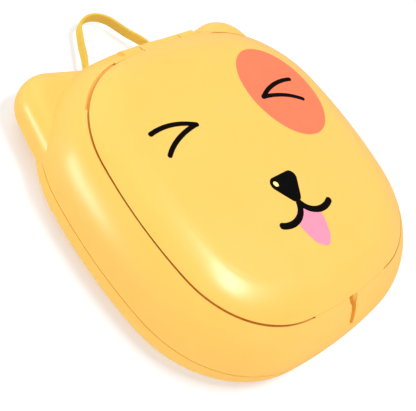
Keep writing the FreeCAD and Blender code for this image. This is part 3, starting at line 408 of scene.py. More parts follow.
@dataclass(frozen=True)
class PlatedMetal(Finish):
    """A plated or drawn metal with a fine grain and dull spots."""

    grain_size: float = 0.25 * MM
    grain_height: float = 0.002 * MM
    grain_gloss: float = 0.12
    spot_size: float = 3 * MM
    spot_level: float = 0.56
    spot_softness: float = 0.2
    spot_gloss: float = 0.15

    def material(self) -> Material:
        """Return the metal as a material.

        Returns:
            The material.
        """
        sheet = ShaderSheet(self.name)
        grain = sheet.noise(self.grain_size)
        worn = sheet.noise(self.spot_size, detail=3.0).above(self.spot_level, self.spot_softness)
        return sheet.surface(
            Base_Color=sheet.mix(worn, self.colour, self.second),
            Metallic=1.0,
            Roughness=self.roughness + worn * self.spot_gloss + (grain - NOISE_MIDDLE) * self.grain_gloss,
            Normal=sheet.bump(grain, self.grain_height),
        )


@dataclass(frozen=True)
class CircuitLaminate(Finish):
    """A lacquered board: dark lacquer between lighter copper runs that bound uneven cells."""

    roughness: float = 0.34
    cell_size: float = 2.4 * MM
    run_level: float = 0.42
    run_softness: float = 0.06
    weave_size: float = 0.5 * MM
    weave_gloss: float = 0.15
    relief: float = 0.03 * MM
    run_relief: float = 0.6
    weave_relief: float = 0.2

    def material(self) -> Material:
        """Return the laminate as a material.

        Returns:
            The material.
        """
        sheet = ShaderSheet(self.name)
        settings = {"feature": "F1", "distance": "CHEBYCHEV"}
        inputs = {"Vector": sheet.place, "Scale": 1 / self.cell_size}
        runs = sheet.wire("ShaderNodeTexVoronoi", settings, inputs).above(self.run_level, self.run_softness)
        weave = sheet.noise(self.weave_size)
        return sheet.surface(
            Base_Color=sheet.mix(runs, self.colour, self.second),
            Roughness=self.roughness + (weave - NOISE_MIDDLE) * self.weave_gloss,
            Normal=sheet.bump(runs * self.run_relief + weave * self.weave_relief, self.relief),
        )


FINISHES: dict[Slot, Finish] = {
    Slot.YELLOW_CASE: MouldedPlastic(
        "satin_yellow_plastic", tone(253, 198, 93), tone(252, 194, 86), 0.4,
        coat=1.0, glow=0.08, sheen=0.25),
    Slot.CREAM_PANEL: MouldedPlastic(
        "fine_cream_plastic", tone(236, 218, 176), tone(230, 210, 165), 0.5, 0.6 * MM, 0.014 * MM),
    Slot.WHITE_KEY: MouldedPlastic(
        "smooth_white_key", tone(233, 229, 219), tone(227, 222, 209), 0.32, coat=0.2),
    Slot.CORAL_KEY: MouldedPlastic(
        "smooth_coral_key", tone(240, 122, 92), tone(234, 111, 83), 0.32, coat=0.2),
    Slot.PINK_KEY: MouldedPlastic(
        "smooth_pink_key", tone(240, 146, 174), tone(235, 135, 164), 0.32, coat=0.2),
    Slot.LOOP_RUBBER: SoftRubber(
        "olive_yellow_rubber", tone(226, 192, 66), tone(216, 180, 58), 0.5, 0.7 * MM, 0.015 * MM),
    Slot.GREY_SILICONE: SoftRubber(
        "grey_silicone_mat", tone(150, 152, 156), tone(132, 134, 140), 0.62, 0.5 * MM, 0.01 * MM),
    Slot.BLACK_FOAM: SoftRubber(
        "open_black_foam", tone(38, 38, 40), tone(20, 20, 22), 0.92, 0.6 * MM, 0.12 * MM),
    Slot.CELL_WRAP: MouldedPlastic(
        "shrunk_cell_wrap", tone(70, 84, 104), tone(60, 73, 92), 0.28, coat=0.5),
    Slot.NICKEL_CONTACT: PlatedMetal("nickel_strip", tone(205, 200, 190), tone(178, 172, 162), 0.28),
    Slot.GREEN_BOARD: CircuitLaminate("green_laminate", tone(24, 88, 58), tone(44, 122, 80)),
    Slot.BLACK_COMPONENT: MouldedPlastic(
        "black_component_body", tone(36, 36, 39), tone(28, 28, 31), 0.55, 0.3 * MM, 0.012 * MM),
    Slot.CAPSULE_CAN: PlatedMetal("drawn_capsule_can", tone(196, 198, 202), tone(168, 170, 174), 0.32),
    Slot.MAGNET: PlatedMetal("plated_magnet", tone(176, 178, 184), tone(150, 152, 158), 0.24),
    Slot.SCREW_STEEL: PlatedMetal("zinc_screw_steel", tone(190, 192, 196), tone(150, 150, 152), 0.3),
}
BLACK_INK = PrintedInk("black_print_ink", tone(4, 4, 4), tone(9, 8, 7), sheen=0.035)
CORAL_INK = PrintedInk("coral_print_ink", tone(252, 125, 88), tone(251, 120, 84), sheen=0.25)
PINK_INK = PrintedInk("pink_print_ink", tone(251, 148, 174), tone(250, 143, 170), sheen=0.25)
PALE_INK = PrintedInk("pale_print_ink", tone(250, 236, 150), tone(248, 230, 138), sheen=0.3)
LEGEND_INK = PrintedInk("brown_legend_ink", tone(92, 66, 40), tone(104, 76, 48))
ICON_INK = PrintedInk("white_legend_ink", tone(250, 248, 242), tone(244, 240, 232))


class MaterialShelf:
    """Makes each finish once and hands out its material."""

    def __init__(self) -> None:
        """Start with an empty shelf."""
        self.made: dict[str, Material] = {}

    def take(self, finish: Finish) -> Material:
        """Return the material of a finish, making it the first time.

        Args:
            finish: The finish.

        Returns:
            Its material.
        """
        if finish.name not in self.made:
            self.made[finish.name] = finish.material()
        return self.made[finish.name]


def ring(count: int, power: float = 1.0) -> tuple[Array, Array]:
    """Return a ring of points of half-width 1, from a circle to nearly a square.

    The two parts are the cosine and the sine of even turns, with their sizes raised to a power.

    Args:
        count: Number of points.
        power: The power, which is 1 for a circle and near 0 for a square.

    Returns:
        The two parts of the points.
    """
    turn = np.linspace(0, FULL_TURN, count, endpoint=False)
    cosine, sine = np.cos(turn), np.sin(turn)
    return np.sign(cosine) * np.abs(cosine) ** power, np.sign(sine) * np.abs(sine) ** power


def turned(x: Array, y: Array, lean: float) -> tuple[Array, Array]:
    """Return plane coordinates turned anticlockwise by an angle."""
    return x * math.cos(lean) - y * math.sin(lean), x * math.sin(lean) + y * math.cos(lean)


def run_length(points: Array) -> Array:
    """Return the length of a line of points up to each point."""
    return np.concatenate([[0.0], np.cumsum(np.linalg.norm(np.diff(points, axis=0), axis=1))])


def linked(name: str, data: bpy.types.ID) -> Piece:
    """Put data into the scene as an object at the origin.

    Args:
        name: The object's name.
        data: Its mesh, lamp, lens or text.

    Returns:
        The object.
    """
    made = bpy.data.objects.new(name, data)
    bpy.context.scene.collection.objects.link(made)
    return made


def grid_object(name: str, points: Array, wrap: bool = True) -> Piece:
    """Make a mesh object from a grid of points.

    The grid's rows run along the piece and its columns around it. Each quad joins two neighbours of a row
    with the two beside them in the next row. A row whose points coincide is a pole, welded to one vertex.

    Args:
        name: The object's name.
        points: Array of rows, columns and coordinates in metres.
        wrap: Whether the last column joins the first.

    Returns:
        The object, in the scene at the origin.
    """
    rows, columns = points.shape[:2]
    index = np.arange(rows * columns).reshape(rows, columns)
    after = np.roll(index, -1, axis=1) if wrap else index[:, 1:]
    before = index if wrap else index[:, :-1]
    quads = np.stack([before[:-1], after[:-1], after[1:], before[1:]], axis=-1).reshape(-1, 4)
    return linked(name, welded_mesh(name, points.reshape(-1, 3), quads))


def welded_mesh(name: str, vertices: Array, quads: Array) -> bpy.types.Mesh:
    """Make a smooth mesh from vertices and quads.

    Vertices within the weld's reach become one. A corner that repeats the corner before it is left out, so
    that a quad at a pole becomes a triangle, and a face with fewer than three corners is dropped.

    Args:
        name: The mesh's name.
        vertices: Array of points in metres.
        quads: Array of quads as vertex numbers.

    Returns:
        The mesh.
    """
    cells = np.round(vertices / WELD_REACH).astype(np.int64)
    _, kept, joined = np.unique(cells, axis=0, return_index=True, return_inverse=True)
    corners = joined.reshape(-1)[quads]
    fresh = corners != np.roll(corners, 1, axis=1)
    counts = fresh.sum(axis=1)
    whole = counts > 2
    loops = corners[whole][fresh[whole]]
    starts = np.cumsum(counts[whole]) - counts[whole]
    mesh = bpy.data.meshes.new(name)
    mesh.vertices.add(len(kept))
    mesh.vertices.foreach_set("co", vertices[kept].ravel())
    mesh.loops.add(len(loops))
    mesh.loops.foreach_set("vertex_index", loops)
    mesh.polygons.add(len(starts))
    mesh.polygons.foreach_set("loop_start", starts)
    mesh.update(calc_edges=True)
    mesh.validate()
    mesh.shade_smooth()
    mesh.set_sharp_from_angle(angle=SHARP_ANGLE)
    return mesh


def dress(piece: Piece, body: str, material: Material, slot: Slot | None = None) -> Piece:
    """Give a new piece its material and its body.

    Args:
        piece: The piece.
        body: The CAD body that it rides on.
        material: Its material.
        slot: Not used.

    Returns:
        The piece.
    """
    piece.data.materials.clear()
    piece.data.materials.append(material)
    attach(piece, body)
    return piece


class Assembly(ABC):
    """A group of pieces that are made together."""

    @abstractmethod
    def build(self) -> Iterator[Piece]:
        """Make the pieces and hand them out one by one."""


@dataclass
class FrameFinishes(Assembly):
    """Gives each solid of the frame the finish of its slot."""

    shelf: MaterialShelf
    nodes: Mapping[str, Piece]

    def build(self) -> Iterator[Piece]:
        """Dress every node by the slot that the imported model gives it.

        Returns:
            The nodes.
        """
        for node in self.nodes.values():
            slot = Slot(node.data.materials[0].name.split(".")[0])
            node.data.materials.clear()
            node.data.materials.append(self.shelf.take(FINISHES[slot]))
            yield node


@dataclass(frozen=True)
class LidSurface:
    """The outer face of the lid: a shallow sphere whose edge rolls over a ball into the side walls."""

    half_width: float = 55.0 * MM
    half_height: float = 53.3 * MM
    top: float = 28.2 * MM
    crown_radius: float = 700.0 * MM
    shoulder_radius: float = 20.0 * MM
    corner_radius: float = 38.0 * MM
    side_bulge: float = 0.95 * MM

    def inset(self, x: Array, y: Array) -> tuple[Array, Array, Array]:
        """Return how far points lie inside the outline, and the outline's outward direction there.

        The outline is eight tangent arcs. A point belongs to the corner arc when it lies, seen from that
        arc's centre, between the directions of the two neighbouring arc centres, and otherwise to the side
        or end arc. The distance is the arc's radius less the distance from its centre.

        Args:
            x: Places across the face.
            y: Places up the face.

        Returns:
            The inset and the two parts of the outward direction.
        """
        across, up = np.abs(x), np.abs(y)
        corner_x = self.half_width - self.side_bulge - self.corner_radius
        corner_y = self.half_height - self.side_bulge - self.corner_radius
        side = self.corner_radius + self.side_bulge / 2 + corner_y**2 / (2 * self.side_bulge)
        end = self.corner_radius + self.side_bulge / 2 + corner_x**2 / (2 * self.side_bulge)
        centres_x = np.array([corner_x, self.half_width - side, 0.0])
        centres_y = np.array([corner_y, 0.0, self.half_height - end])
        radii = np.array([self.corner_radius, side, end])
        turn = np.arctan2(up - corner_y, across - corner_x)
        side_turn = math.atan2(corner_y - centres_y[1], corner_x - centres_x[1])
        end_turn = math.atan2(corner_y - centres_y[2], corner_x - centres_x[2])
        middle = (side_turn + end_turn) / 2
        on_corner = (turn >= side_turn) & (turn <= end_turn)
        steep = (up / self.half_height) > (across / self.half_width)
        on_end = np.where(np.abs(turn - middle) < math.pi / 2, turn > middle, steep)
        which = np.where(on_corner, 0, np.where(on_end, 2, 1))
        away_x, away_y = across - centres_x[which], up - centres_y[which]
        away = np.hypot(away_x, away_y)
        return radii[which] - away, np.sign(x) * away_x / away, np.sign(y) * away_y / away

    def height(self, x: Array, y: Array) -> Array:
        """Return the height of the face.

        Inside the ball's contact line the face is the crown sphere. Outside it, the face is the ball that
        touches both the crown from inside and the wall: its centre lies one ball radius in from the outline.

        Args:
            x: Places across the face.
            y: Places up the face.

        Returns:
            The heights.
        """
        low = self.top - self.crown_radius
        crown = low + np.sqrt(self.crown_radius**2 - x**2 - y**2)
        inset, out_x, out_y = self.inset(x, y)
        ball = self.shoulder_radius
        step = ball - inset
        centre_r2 = (x - out_x * step) ** 2 + (y - out_y * step) ** 2
        reach = self.crown_radius - ball
        centre = low + np.sqrt(reach**2 - centre_r2)
        contact = ball * np.sqrt(centre_r2) / reach
        rolled = centre + np.sqrt(np.maximum(ball**2 - step**2, 0.0))
        return np.where(step > contact, rolled, crown)


@dataclass(frozen=True)
class Stroke:
    """A brush line of even width, drawn as a cubic curve on the right half of the face, in millimetres.

    The left half mirrors the line, and the shift then moves both along x. The name has a gap for the half.
    """

    name: str
    curve: Curve
    half_width: float
    shift: float

    def title(self, side: Side) -> str:
        """Return the line's name on one half of the face."""
        return self.name.format(side=side.name.lower())

    def points(self, side: Side) -> Array:
        """Return the curve's four points on one half of the face."""
        return np.array(self.curve) * (side.value, 1) + (self.shift, 0.0)


@dataclass
class FacePrint(Assembly):
    """The printed face on the lid: thin ink films that follow the lid's surface.

    Places on the face are in millimetres, and the films' heights are in metres.
    """

    shelf: MaterialShelf
    surface: LidSurface = LidSurface()
    under_film: float = 0.014 * MM
    film: float = 0.028 * MM
    over_film: float = 0.038 * MM
    sink: float = 0.06 * MM
    patch_centre: Point = (24.36, 16.47)
    patch_half: Point = (13.25, 17.1)
    patch_lean: float = math.radians(10)
    tongue_circles: tuple[Circle, ...] = ((-0.45, -22.6, 5.1), (-0.65, -26.3, 3.9), (-0.6, -28.9, 1.9))
    tongue_middle: Point = (-0.6, -25.0)
    nose_circles: tuple[Circle, ...] = ((-3.4, -8.85, 2.2), (3.1, -8.85, 2.2), (-0.1, -13.65, 2.4))
    nose_middle: Point = (-0.35, -10.5)
    glint_centre: Point = (-3.6, -8.75)
    glint_half: Point = (0.95, 0.76)
    glint_lean: float = math.radians(-60)
    strokes: tuple[Stroke, ...] = (
        Stroke(
            "print_eye_{side}_upper", ((14.2, 16.2), (19.8, 19.4), (25.4, 20.2), (31.4, 18.9)), 0.75, 0.5),
        Stroke(
            "print_eye_{side}_lower", ((14.2, 16.7), (20.0, 16.3), (26.0, 14.6), (30.3, 10.9)), 0.75, 0.5),
        Stroke(
            "print_mouth_{side}", ((0.0, -15.6), (0.7, -20.3), (6.9, -22.6), (11.8, -19.4)), 1.05, -0.35),
    )
    stroke_steps: int = 48
    section_steps: int = 16
    section_power: float = 0.35
    closing_rate: float = 4.0
    blot_rings: int = 14
    hull_steps: int = 96
    ellipse_steps: int = 128

    def lay(self, name: str, x: Array, y: Array, share: Array, film: float) -> Piece:
        """Lay a closed film on the lid.

        A point stands on the lid's face, raised by its share of the film's height, or sunk where the share
        is negative.

        Args:
            name: The film's name.
            x: Grid of places across the face.
            y: Grid of places up the face.
            share: Heights that fit the grid, 1 on top of the film and -1 under it.
            film: Height of the film's top.

        Returns:
            The film.
        """
        place_x, place_y = x * MM, y * MM
        lift = np.where(share > 0, share * film, share * self.sink)
        height = self.surface.height(place_x, place_y) + lift
        return grid_object(name, np.stack([place_x, place_y, height], axis=-1))

    def brush(self, stroke: Stroke, side: Side) -> Piece:
        """Lay a brush line on one half of the face.

        The line's middle is a cubic curve, with steps that grow shorter towards its ends. Its half-width
        closes at both ends as a half circle. Round it goes a flat section, raised on top and sunk below.

        Args:
            stroke: The line.
            side: The half of the face.

        Returns:
            The film.
        """
        done = ((1 - np.cos(np.linspace(0, math.pi, self.stroke_steps))) / 2)[:, None]
        rest = 1 - done
        weights = np.hstack([rest**3, 3 * done * rest**2, 3 * done**2 * rest, done**3])
        middle = weights @ stroke.points(side)
        run = np.gradient(middle, axis=0)
        run /= np.linalg.norm(run, axis=1, keepdims=True)
        gone = run_length(middle)
        into_start = np.clip(1 - gone / stroke.half_width, 0, 1)
        into_end = np.clip(1 - (gone[-1] - gone) / stroke.half_width, 0, 1)
        closing = (np.sqrt(1 - into_start**2) * np.sqrt(1 - into_end**2))[:, None]
        wide, rise = ring(self.section_steps, self.section_power)
        spread = stroke.half_width * closing * wide
        x = middle[:, :1] - run[:, 1:] * spread
        y = middle[:, 1:] + run[:, :1] * spread
        share = rise * np.minimum(closing * self.closing_rate, 1)
        return self.lay(stroke.title(side), x, y, share, self.film)

    def blot(self, name: str, outline: Array, centre: Point, film: float) -> Piece:
        """Lay a filled shape.

        The rows run from the middle of the top out to the outline, over the edge and back to the middle
        below. A row is the outline shrunk towards the centre.

        Args:
            name: The film's name.
            outline: Closed outline as an array of points, anticlockwise.
            centre: A point that sees the whole outline.
            film: Height of the film.

        Returns:
            The film.
        """
        rings = np.linspace(0, 1, self.blot_rings)
        reach = np.concatenate([rings, rings[::-1]])[:, None]
        share = np.repeat([1.0, -1.0], self.blot_rings)[:, None]
        x = centre[0] + reach * (outline[:, 0] - centre[0])
        y = centre[1] + reach * (outline[:, 1] - centre[1])
        return self.lay(name, x, y, share, film)

    def rounded_hull(self, circles: tuple[Circle, ...]) -> Array:
        """Return the outline of a band stretched round some circles.

        For each outward direction the outline has the circle's point that lies furthest that way.

        Args:
            circles: Centres and radii.

        Returns:
            The outline's points, anticlockwise.
        """
        rows = np.array(circles)
        way = np.stack(ring(self.hull_steps), axis=-1)
        support = way @ rows[:, :2].T + rows[:, 2]
        furthest = rows[np.argmax(support, axis=1)]
        return furthest[:, :2] + furthest[:, 2:] * way

    def ellipse(self, centre: Point, half: Point, lean: float) -> Array:
        """Return the outline of an ellipse that leans by an angle.

        Args:
            centre: Its centre.
            half: Its two half-axes.
            lean: Turn of the first axis, in radians.

        Returns:
            The outline's points, anticlockwise.
        """
        along, up = ring(self.ellipse_steps)
        x, y = turned(half[0] * along, half[1] * up, lean)
        return np.stack([centre[0] + x, centre[1] + y], axis=-1)

    def build(self) -> Iterator[Piece]:
        """Make every film and let it ride on the lid.

        Returns:
            The films.
        """
        patch = self.ellipse(self.patch_centre, self.patch_half, self.patch_lean)
        tongue = self.rounded_hull(self.tongue_circles)
        nose = self.rounded_hull(self.nose_circles)
        glint = self.ellipse(self.glint_centre, self.glint_half, self.glint_lean)
        blots = (
            ("print_eye_patch", patch, self.patch_centre, self.under_film, CORAL_INK),
            ("print_tongue", tongue, self.tongue_middle, self.under_film, PINK_INK),
            ("print_nose", nose, self.nose_middle, self.film, BLACK_INK),
            ("print_nose_glint", glint, self.glint_centre, self.over_film, PALE_INK),
        )
        for name, outline, centre, film, ink in blots:
            yield dress(self.blot(name, outline, centre, film), "lid", self.shelf.take(ink))
        for side in Side:
            for stroke in self.strokes:
                yield dress(self.brush(stroke, side), "lid", self.shelf.take(BLACK_INK))


@dataclass
class KeyLegends(Assembly):
    """The characters and handset signs printed on the key tops."""

    shelf: MaterialShelf
    character_height: float = 5.4 * MM
    font_scale: float = 1.4
    star: str = "*"
    star_scale: float = 1.75
    curve_steps: int = 6
    film: float = 0.03 * MM
    sign_leans: tuple[tuple[str, float], ...] = (("key_call", math.radians(32)), ("key_end", 0.0))
    sign_half_span: float = 3.6 * MM
    sign_rise: float = 1.5 * MM
    sign_steps: int = 61
    bar_half: float = 0.55 * MM
    block_extra: float = 0.75 * MM
    block_drop: float = 0.35 * MM
    block_start: float = 0.66
    block_rate: float = 26.0
    end_power: int = 14
    end_fill: float = 1.02
    section_steps: int = 16
    section_power: float = 0.3

    def characters(self) -> dict[str, str]:
        """Return the character of each key that has one, by body name."""
        marks = {"key_star": self.star, "key_hash": "#"}
        return {**{f"key_{digit}": str(digit) for digit in range(10)}, **marks}

    def top_of(self, node: str) -> Vector:
        """Return the middle of a key's top face."""
        low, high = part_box(node)
        return Vector(((low.x + high.x) / 2, (low.y + high.y) / 2, high.z))

    def character(self, node: str, text: str) -> Piece:
        """Make one printed character as a thin solid centred on its key.

        Args:
            node: The key's node.
            text: The character.

        Returns:
            The character's object.
        """
        name = f"legend_{node}"
        scale = self.star_scale if text == self.star else 1.0
        letter = bpy.data.curves.new(name, "FONT")
        letter.body = text
        letter.size = self.character_height * self.font_scale * scale
        letter.extrude = self.film
        letter.resolution_u = self.curve_steps
        holder = linked(f"legend_shape_{node}", letter)
        bpy.context.view_layer.update()
        mesh = bpy.data.meshes.new_from_object(holder.evaluated_get(bpy.context.evaluated_depsgraph_get()))
        bpy.data.objects.remove(holder)
        places = np.zeros((len(mesh.vertices), 3))
        mesh.vertices.foreach_get("co", places.ravel())
        middle = (places.max(axis=0) + places.min(axis=0)) / 2
        mesh.transform(Matrix.Translation(self.top_of(node) - Vector((middle[0], middle[1], 0))))
        mesh.name = name
        return linked(name, mesh)

    def handset(self, node: str, lean: float) -> Piece:
        """Make a handset sign: a bowed bar whose ends swell.

        The middle line is a parabola, which the blocks at the ends pull down. The half-width is small in the
        middle and grows to a rounded block at each end, and the section is a flat closed film.

        Args:
            node: The key's node.
            lean: Turn of the sign on the key, in radians.

        Returns:
            The sign's object.
        """
        share = np.linspace(-1, 1, self.sign_steps)[:, None]
        swell = 1 / (1 + np.exp((self.block_start - np.abs(share)) * self.block_rate))
        rounding = np.minimum(np.sqrt(1 - np.abs(share) ** self.end_power) * self.end_fill, 1)
        half = (self.bar_half + self.block_extra * swell) * rounding
        middle = self.sign_rise * (1 - share**2) - self.sign_rise / 2 - self.block_drop * swell
        wide, rise = ring(self.section_steps, self.section_power)
        x, y = turned(share * self.sign_half_span, middle + half * wide, lean)
        top = self.top_of(node)
        level = np.broadcast_to(top.z + rise * self.film, x.shape)
        return grid_object(f"legend_{node}", np.stack([top.x + x, top.y + y, level], axis=-1))

    def build(self) -> Iterator[Piece]:
        """Print every key.

        Returns:
            The characters and signs.
        """
        for body, text in self.characters().items():
            yield dress(self.character(body, text), body, self.shelf.take(LEGEND_INK))
        for body, lean in self.sign_leans:
            yield dress(self.handset(body, lean), body, self.shelf.take(ICON_INK))


@dataclass(frozen=True)
class ScrewKind:
    """A set of like screws on one body. The name is what their nodes' names start with."""

    name: str
    count: int
    body: str
    head_radius: float
    head_height: float
    shank_radius: float


@dataclass
class CrossScrews(Assembly):
    """Screws with a cross recess, in place of the plain ones of the frame."""

    shelf: MaterialShelf
    kinds: tuple[ScrewKind, ...] = (
        ScrewKind("case_screw", 4, "case", 2.3 * MM, 1.8 * MM, 1.1 * MM),
        ScrewKind("door_screw", 2, "door", 1.8 * MM, 0.9 * MM, 0.8 * MM),
        ScrewKind("lid_screw", 4, "lid", 1.8 * MM, 0.9 * MM, 0.8 * MM),
    )
    edge_round: float = 0.25 * MM
    recess_depth: float = 0.55 * MM
    recess_half: float = 0.27 * MM
    recess_reach: float = 0.62
    flank_share: float = 0.4
    ending_share: float = 0.5
    tip_share: float = 0.4
    head_steps: int = 26
    edge_steps: int = 5
    round_steps: int = 96

    def screw(self, node: str, kind: ScrewKind) -> Piece:
        """Make one screw that points up and shows its head below.

        The rows run from the middle of the head outwards, round its edge, along the shank and to its tip.
        On the head, the height is pressed in where a point lies within a spoke's half-width of either axis,
        as far out as the spokes reach, with sloping flanks.

        Args:
            node: The screw's node, whose box gives its place and length.
            kind: The set that it belongs to.

        Returns:
            The screw.
        """
        low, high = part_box(node)
        length = high.z - low.z
        bend = np.linspace(0, math.pi / 2, self.edge_steps)[1:]
        flat = np.linspace(0, kind.head_radius - self.edge_round, self.head_steps)
        rim = kind.head_radius - self.edge_round * (1 - np.sin(bend))
        shank = kind.shank_radius
        radius = np.concatenate([flat, rim, [kind.head_radius, shank, shank, shank * self.tip_share, 0.0]])
        level = np.concatenate([
            np.zeros_like(flat),
            self.edge_round * (1 - np.cos(bend)),
            [kind.head_height, kind.head_height, length - shank, length, length],
        ])
        away_x, away_y = [radius[:, None] * part for part in ring(self.round_steps)]
        from_axis = np.minimum(np.abs(away_x), np.abs(away_y))
        along = np.maximum(np.abs(away_x), np.abs(away_y))
        flank = np.clip((self.recess_half - from_axis) / (self.flank_share * self.recess_half), 0, 1)
        left_over = self.recess_reach * kind.head_radius - along
        ending = np.clip(left_over / (self.ending_share * self.recess_half), 0, 1)
        on_head = (np.arange(len(radius)) < self.head_steps)[:, None]
        pressed = np.where(on_head, self.recess_depth * flank * ending, 0.0)
        x = (low.x + high.x) / 2 + away_x
        y = (low.y + high.y) / 2 + away_y
        points = np.stack([x, y, low.z + level[:, None] + pressed], axis=-1)
        return grid_object(f"cross_{node}", points[:, ::-1])

    def build(self) -> Iterator[Piece]:
        """Replace the screws that show at the back and inside the lid.

        Returns:
            The screws.
        """
        steel = self.shelf.take(FINISHES[Slot.SCREW_STEEL])
        for kind in self.kinds:
            for number in range(1, kind.count + 1):
                node = f"{kind.name}_{number}"
                piece = dress(self.screw(node, kind), kind.body, steel, Slot.SCREW_STEEL)
                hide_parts(node)
                yield piece


@dataclass
class CarryLoop(Assembly):
    """The soft ribbon that arches over the top wall, with a bead at each end inside the case."""

    shelf: MaterialShelf
    bend_centre_y: float = 63.9 * MM
    bend_radius: float = 8.15 * MM
    foot: Point = (19.2 * MM, 45.9 * MM)
    level: float = 4.0 * MM
    width: float = 2.8 * MM
    flare: float = 0.7 * MM
    flare_power: int = 4
    bow: float = 0.6 * MM
    wall_y: float = 53.0 * MM
    thickness: float = 1.1 * MM
    bead_radius: float = 1.6 * MM
    bend_steps: int = 60
    leg_steps: int = 40
    section_steps: int = 32
    section_power: float = 0.5

    def path(self) -> tuple[Array, Array]:
        """Return the ribbon's middle line and its outward direction in plan.

        The line runs up one straight leg, round the bend and down the other leg. The leg touches the bend
        where the bend's radius is square to it.

        Returns:
            Points and directions, one row for each step.
        """
        foot_x, foot_y = self.foot
        drop = foot_y - self.bend_centre_y
        touch = math.atan2(drop, foot_x) + math.acos(self.bend_radius / math.hypot(foot_x, drop))
        turn = np.linspace(touch, math.pi - touch, self.bend_steps)
        bend = np.stack([np.cos(turn), np.sin(turn)], axis=-1)
        arch = bend * self.bend_radius + np.array([0.0, self.bend_centre_y])
        share = np.linspace(0, 1, self.leg_steps, endpoint=False)[:, None]
        foot = np.array(self.foot)
        right = foot + share * (arch[0] - foot)
        left = (right * np.array([-1.0, 1.0]))[::-1]
        ways = np.pad(bend, ((self.leg_steps, self.leg_steps), (0, 0)), mode="edge")
        return np.concatenate([right, arch, left]), ways

    def ribbon(self) -> Piece:
        """Sweep a rounded flat section along the line, swelling into a bead at both feet.

        Outside the wall the section widens a little, and each leg bows towards the front between the wall
        and the bend as the square of a sine. The first and last rows are the middles of the end sections.

        Returns:
            The ribbon.
        """
        middle, outward = self.path()
        gone = run_length(middle)
        from_foot = np.minimum(gone, gone[-1] - gone)
        bead = np.sqrt(np.maximum(1 - (from_foot / self.bead_radius) ** 2, 0)) * self.bead_radius
        thick, wide = ring(self.section_steps, self.section_power)
        spread = np.maximum(self.thickness / 2, bead)[:, None] * thick
        risen = np.clip((middle[:, 1:] - self.wall_y) / (self.bend_centre_y - self.wall_y), 0, 1)
        half_wide = (self.width + self.flare * (1 - (1 - risen) ** self.flare_power)) / 2
        level = self.level + self.bow * np.sin(math.pi * risen) ** 2
        x = middle[:, :1] + outward[:, :1] * spread
        y = middle[:, 1:] + outward[:, 1:] * spread
        points = np.stack([x, y, level + half_wide * wide], axis=-1)
        caps = np.repeat(points.mean(axis=1, keepdims=True), self.section_steps, axis=1)
        return grid_object("carry_ribbon", np.concatenate([caps[:1], points, caps[-1:]]))

    def build(self) -> Iterator[Piece]:
        """Put the ribbon in place of the frame's stiff loop.

        Returns:
            The ribbon, as the only piece.
        """
        rubber = self.shelf.take(FINISHES[Slot.LOOP_RUBBER])
        piece = dress(self.ribbon(), "case", rubber, Slot.LOOP_RUBBER)
        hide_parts("carry_loop")
        yield piece


@dataclass(frozen=True)
class Lamp:
    """A soft lamp that faces the object.

    It is placed and sized in metres, with its power in watts, and twisted about the line to the object.
    """

    name: str
    place: Place
    size: Point
    power: float
    colour: Colour = (1.0, 1.0, 1.0)
    mirrored: bool = True
    twist: float = 0.0

    def hang(self) -> Piece:
        """Hang the lamp. Glossy faces show its reflection only where it is mirrored.

        Returns:
            The lamp's object.
        """
        light = bpy.data.lights.new(self.name, "AREA")
        light.shape = "RECTANGLE"
        light.size, light.size_y = self.size
        light.energy = self.power
        light.color = self.colour
        made = linked(self.name, light)
        made.location = self.place
        facing = (-Vector(self.place)).to_track_quat("-Z", "Y")
        made.rotation_euler = (facing @ Quaternion((0.0, 0.0, 1.0), self.twist)).to_euler()
        made.visible_glossy = self.mirrored
        return made


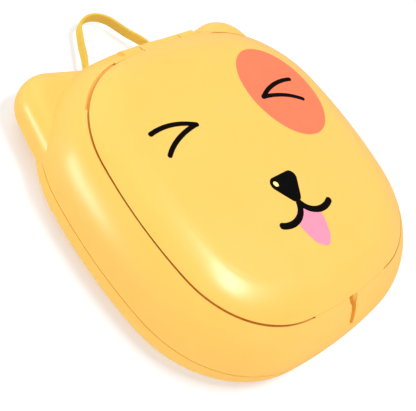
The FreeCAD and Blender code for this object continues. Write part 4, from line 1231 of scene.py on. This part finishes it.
@dataclass
class Studio(Assembly):
    """A pale floor, soft lamps, an even room and the camera."""

    lamps: tuple[Lamp, ...] = (
        Lamp("overhead_softbox", (0.135, -0.133, 0.8), (0.14, 0.38), 3.3, twist=math.radians(80)),
        Lamp("left_softbox", (-0.82, 0.5, 0.15), (0.5, 0.26), 3.2, (1.0, 0.99, 0.97)),
        Lamp("back_softbox", (0.04, 0.4, 0.4), (0.42, 0.42), 1.2, mirrored=False),
        Lamp("front_fill", (-0.08, -0.95, 0.36), (0.7, 0.5), 3.1, (1.0, 0.99, 0.97), mirrored=False),
    )
    image_width: float = 416.0
    focal_pixels: float = 946.5
    sensor: float = 36.0
    clip: Point = (0.01, 50.0)
    camera_place: Place = (-0.19621, -0.04946, 0.20339)
    camera_right: Direction = (0.657, -0.583, 0.479)
    camera_up: Direction = (0.330, 0.793, 0.513)
    floor_reach: float = 3.0
    floor_steps: int = 9
    floor_level: float = -0.1 * MM
    floor_tone: Colour = (0.62, 0.65, 0.70)
    floor_shade: float = 0.985
    floor_grain: float = 30 * MM
    floor_roughness: float = 0.7
    floor_gloss: float = 0.1
    floor_glow: float = 0.35
    room_tone: Colour = (0.985, 0.99, 1.0)
    room_glow: float = 0.46
    bounce_tone: Colour = (1.0, 0.62, 0.26)
    bounce_glow: float = 0.9
    bounce_level: float = 0.15
    bounce_softness: float = 0.3

    def floor(self) -> Piece:
        """Lay a wide, faintly glowing floor with a fine grain under the object.

        Returns:
            The floor, a flat square grid.
        """
        sheet = ShaderSheet("pale_studio_floor")
        grain = sheet.noise(self.floor_grain, detail=3.0)
        darker = tuple(value * self.floor_shade for value in self.floor_tone)
        material = sheet.surface(
            Base_Color=sheet.mix(grain, self.floor_tone, darker),
            Roughness=self.floor_roughness + (grain - NOISE_MIDDLE) * self.floor_gloss,
            Emission_Color=(1.0, 1.0, 1.0, 1.0),
            Emission_Strength=self.floor_glow,
        )
        reach = np.linspace(-self.floor_reach, self.floor_reach, self.floor_steps)
        x, y = np.meshgrid(reach, reach)
        points = np.stack([x, y, np.full_like(x, self.floor_level)], axis=-1)
        made = grid_object("studio_floor", points, wrap=False)
        made.data.materials.append(material)
        made.visible_glossy = False
        return made

    def room(self) -> None:
        """Surround the scene with an even white, in which glossy faces mirror a warm lower half.

        The floor itself isn't mirrored. In its place stands the warm light that it throws back near the case.
        """
        world = bpy.data.worlds.new("even_white_room")
        sheet = NodeSheet(world)
        way = sheet.wire("ShaderNodeTexCoord", output="Generated")
        upward = sheet.wire("ShaderNodeSeparateXYZ", inputs={0: way}, output="Z")
        mirrored = sheet.wire("ShaderNodeLightPath", output="Is Glossy Ray")
        below = (0.0 - upward).above(self.bounce_level, self.bounce_softness) * mirrored
        white, warm = [
            sheet.wire("ShaderNodeBackground", inputs={"Color": (*colour, 1.0), "Strength": glow})
            for colour, glow in ((self.room_tone, self.room_glow), (self.bounce_tone, self.bounce_glow))
        ]
        halves = sheet.wire("ShaderNodeMixShader", inputs={0: below, 1: white, 2: warm})
        sheet.node("ShaderNodeOutputWorld", inputs={"Surface": halves})
        bpy.context.scene.world = world

    def camera(self) -> Piece:
        """Set the camera at the photograph's viewing angle, with plain display colours.

        Returns:
            The camera.
        """
        lens = bpy.data.cameras.new("studio_camera")
        lens.sensor_width = self.sensor
        lens.lens = self.focal_pixels * self.sensor / self.image_width
        lens.clip_start, lens.clip_end = self.clip
        made = linked("studio_camera", lens)
        right = Vector(self.camera_right).normalized()
        up = Vector(self.camera_up)
        up = (up - up.dot(right) * right).normalized()
        turn = Matrix((right, up, right.cross(up))).transposed().to_4x4()
        made.matrix_world = Matrix.Translation(Vector(self.camera_place)) @ turn
        bpy.context.scene.camera = made
        bpy.context.scene.view_settings.view_transform = "Standard"
        return made

    def build(self) -> Iterator[Piece]:
        """Set up the floor, the lamps, the room and the camera.

        Returns:
            The floor, the lamps and the camera.
        """
        yield self.floor()
        for lamp in self.lamps:
            yield lamp.hang()
        self.room()
        yield self.camera()


def main() -> None:
    """Build every sub-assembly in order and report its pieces."""
    logging.basicConfig(level=logging.INFO, format="%(name)s: %(message)s")
    shelf = MaterialShelf()
    assemblies: tuple[Assembly, ...] = (
        FrameFinishes(shelf, frame["nodes"]),
        FacePrint(shelf),
        KeyLegends(shelf),
        CrossScrews(shelf),
        CarryLoop(shelf),
        Studio(),
    )
    for assembly in assemblies:
        for piece in assembly.build():
            log.info("%s: %s", type(assembly).__name__, piece.name)


if __name__ == "__main__":
    main()
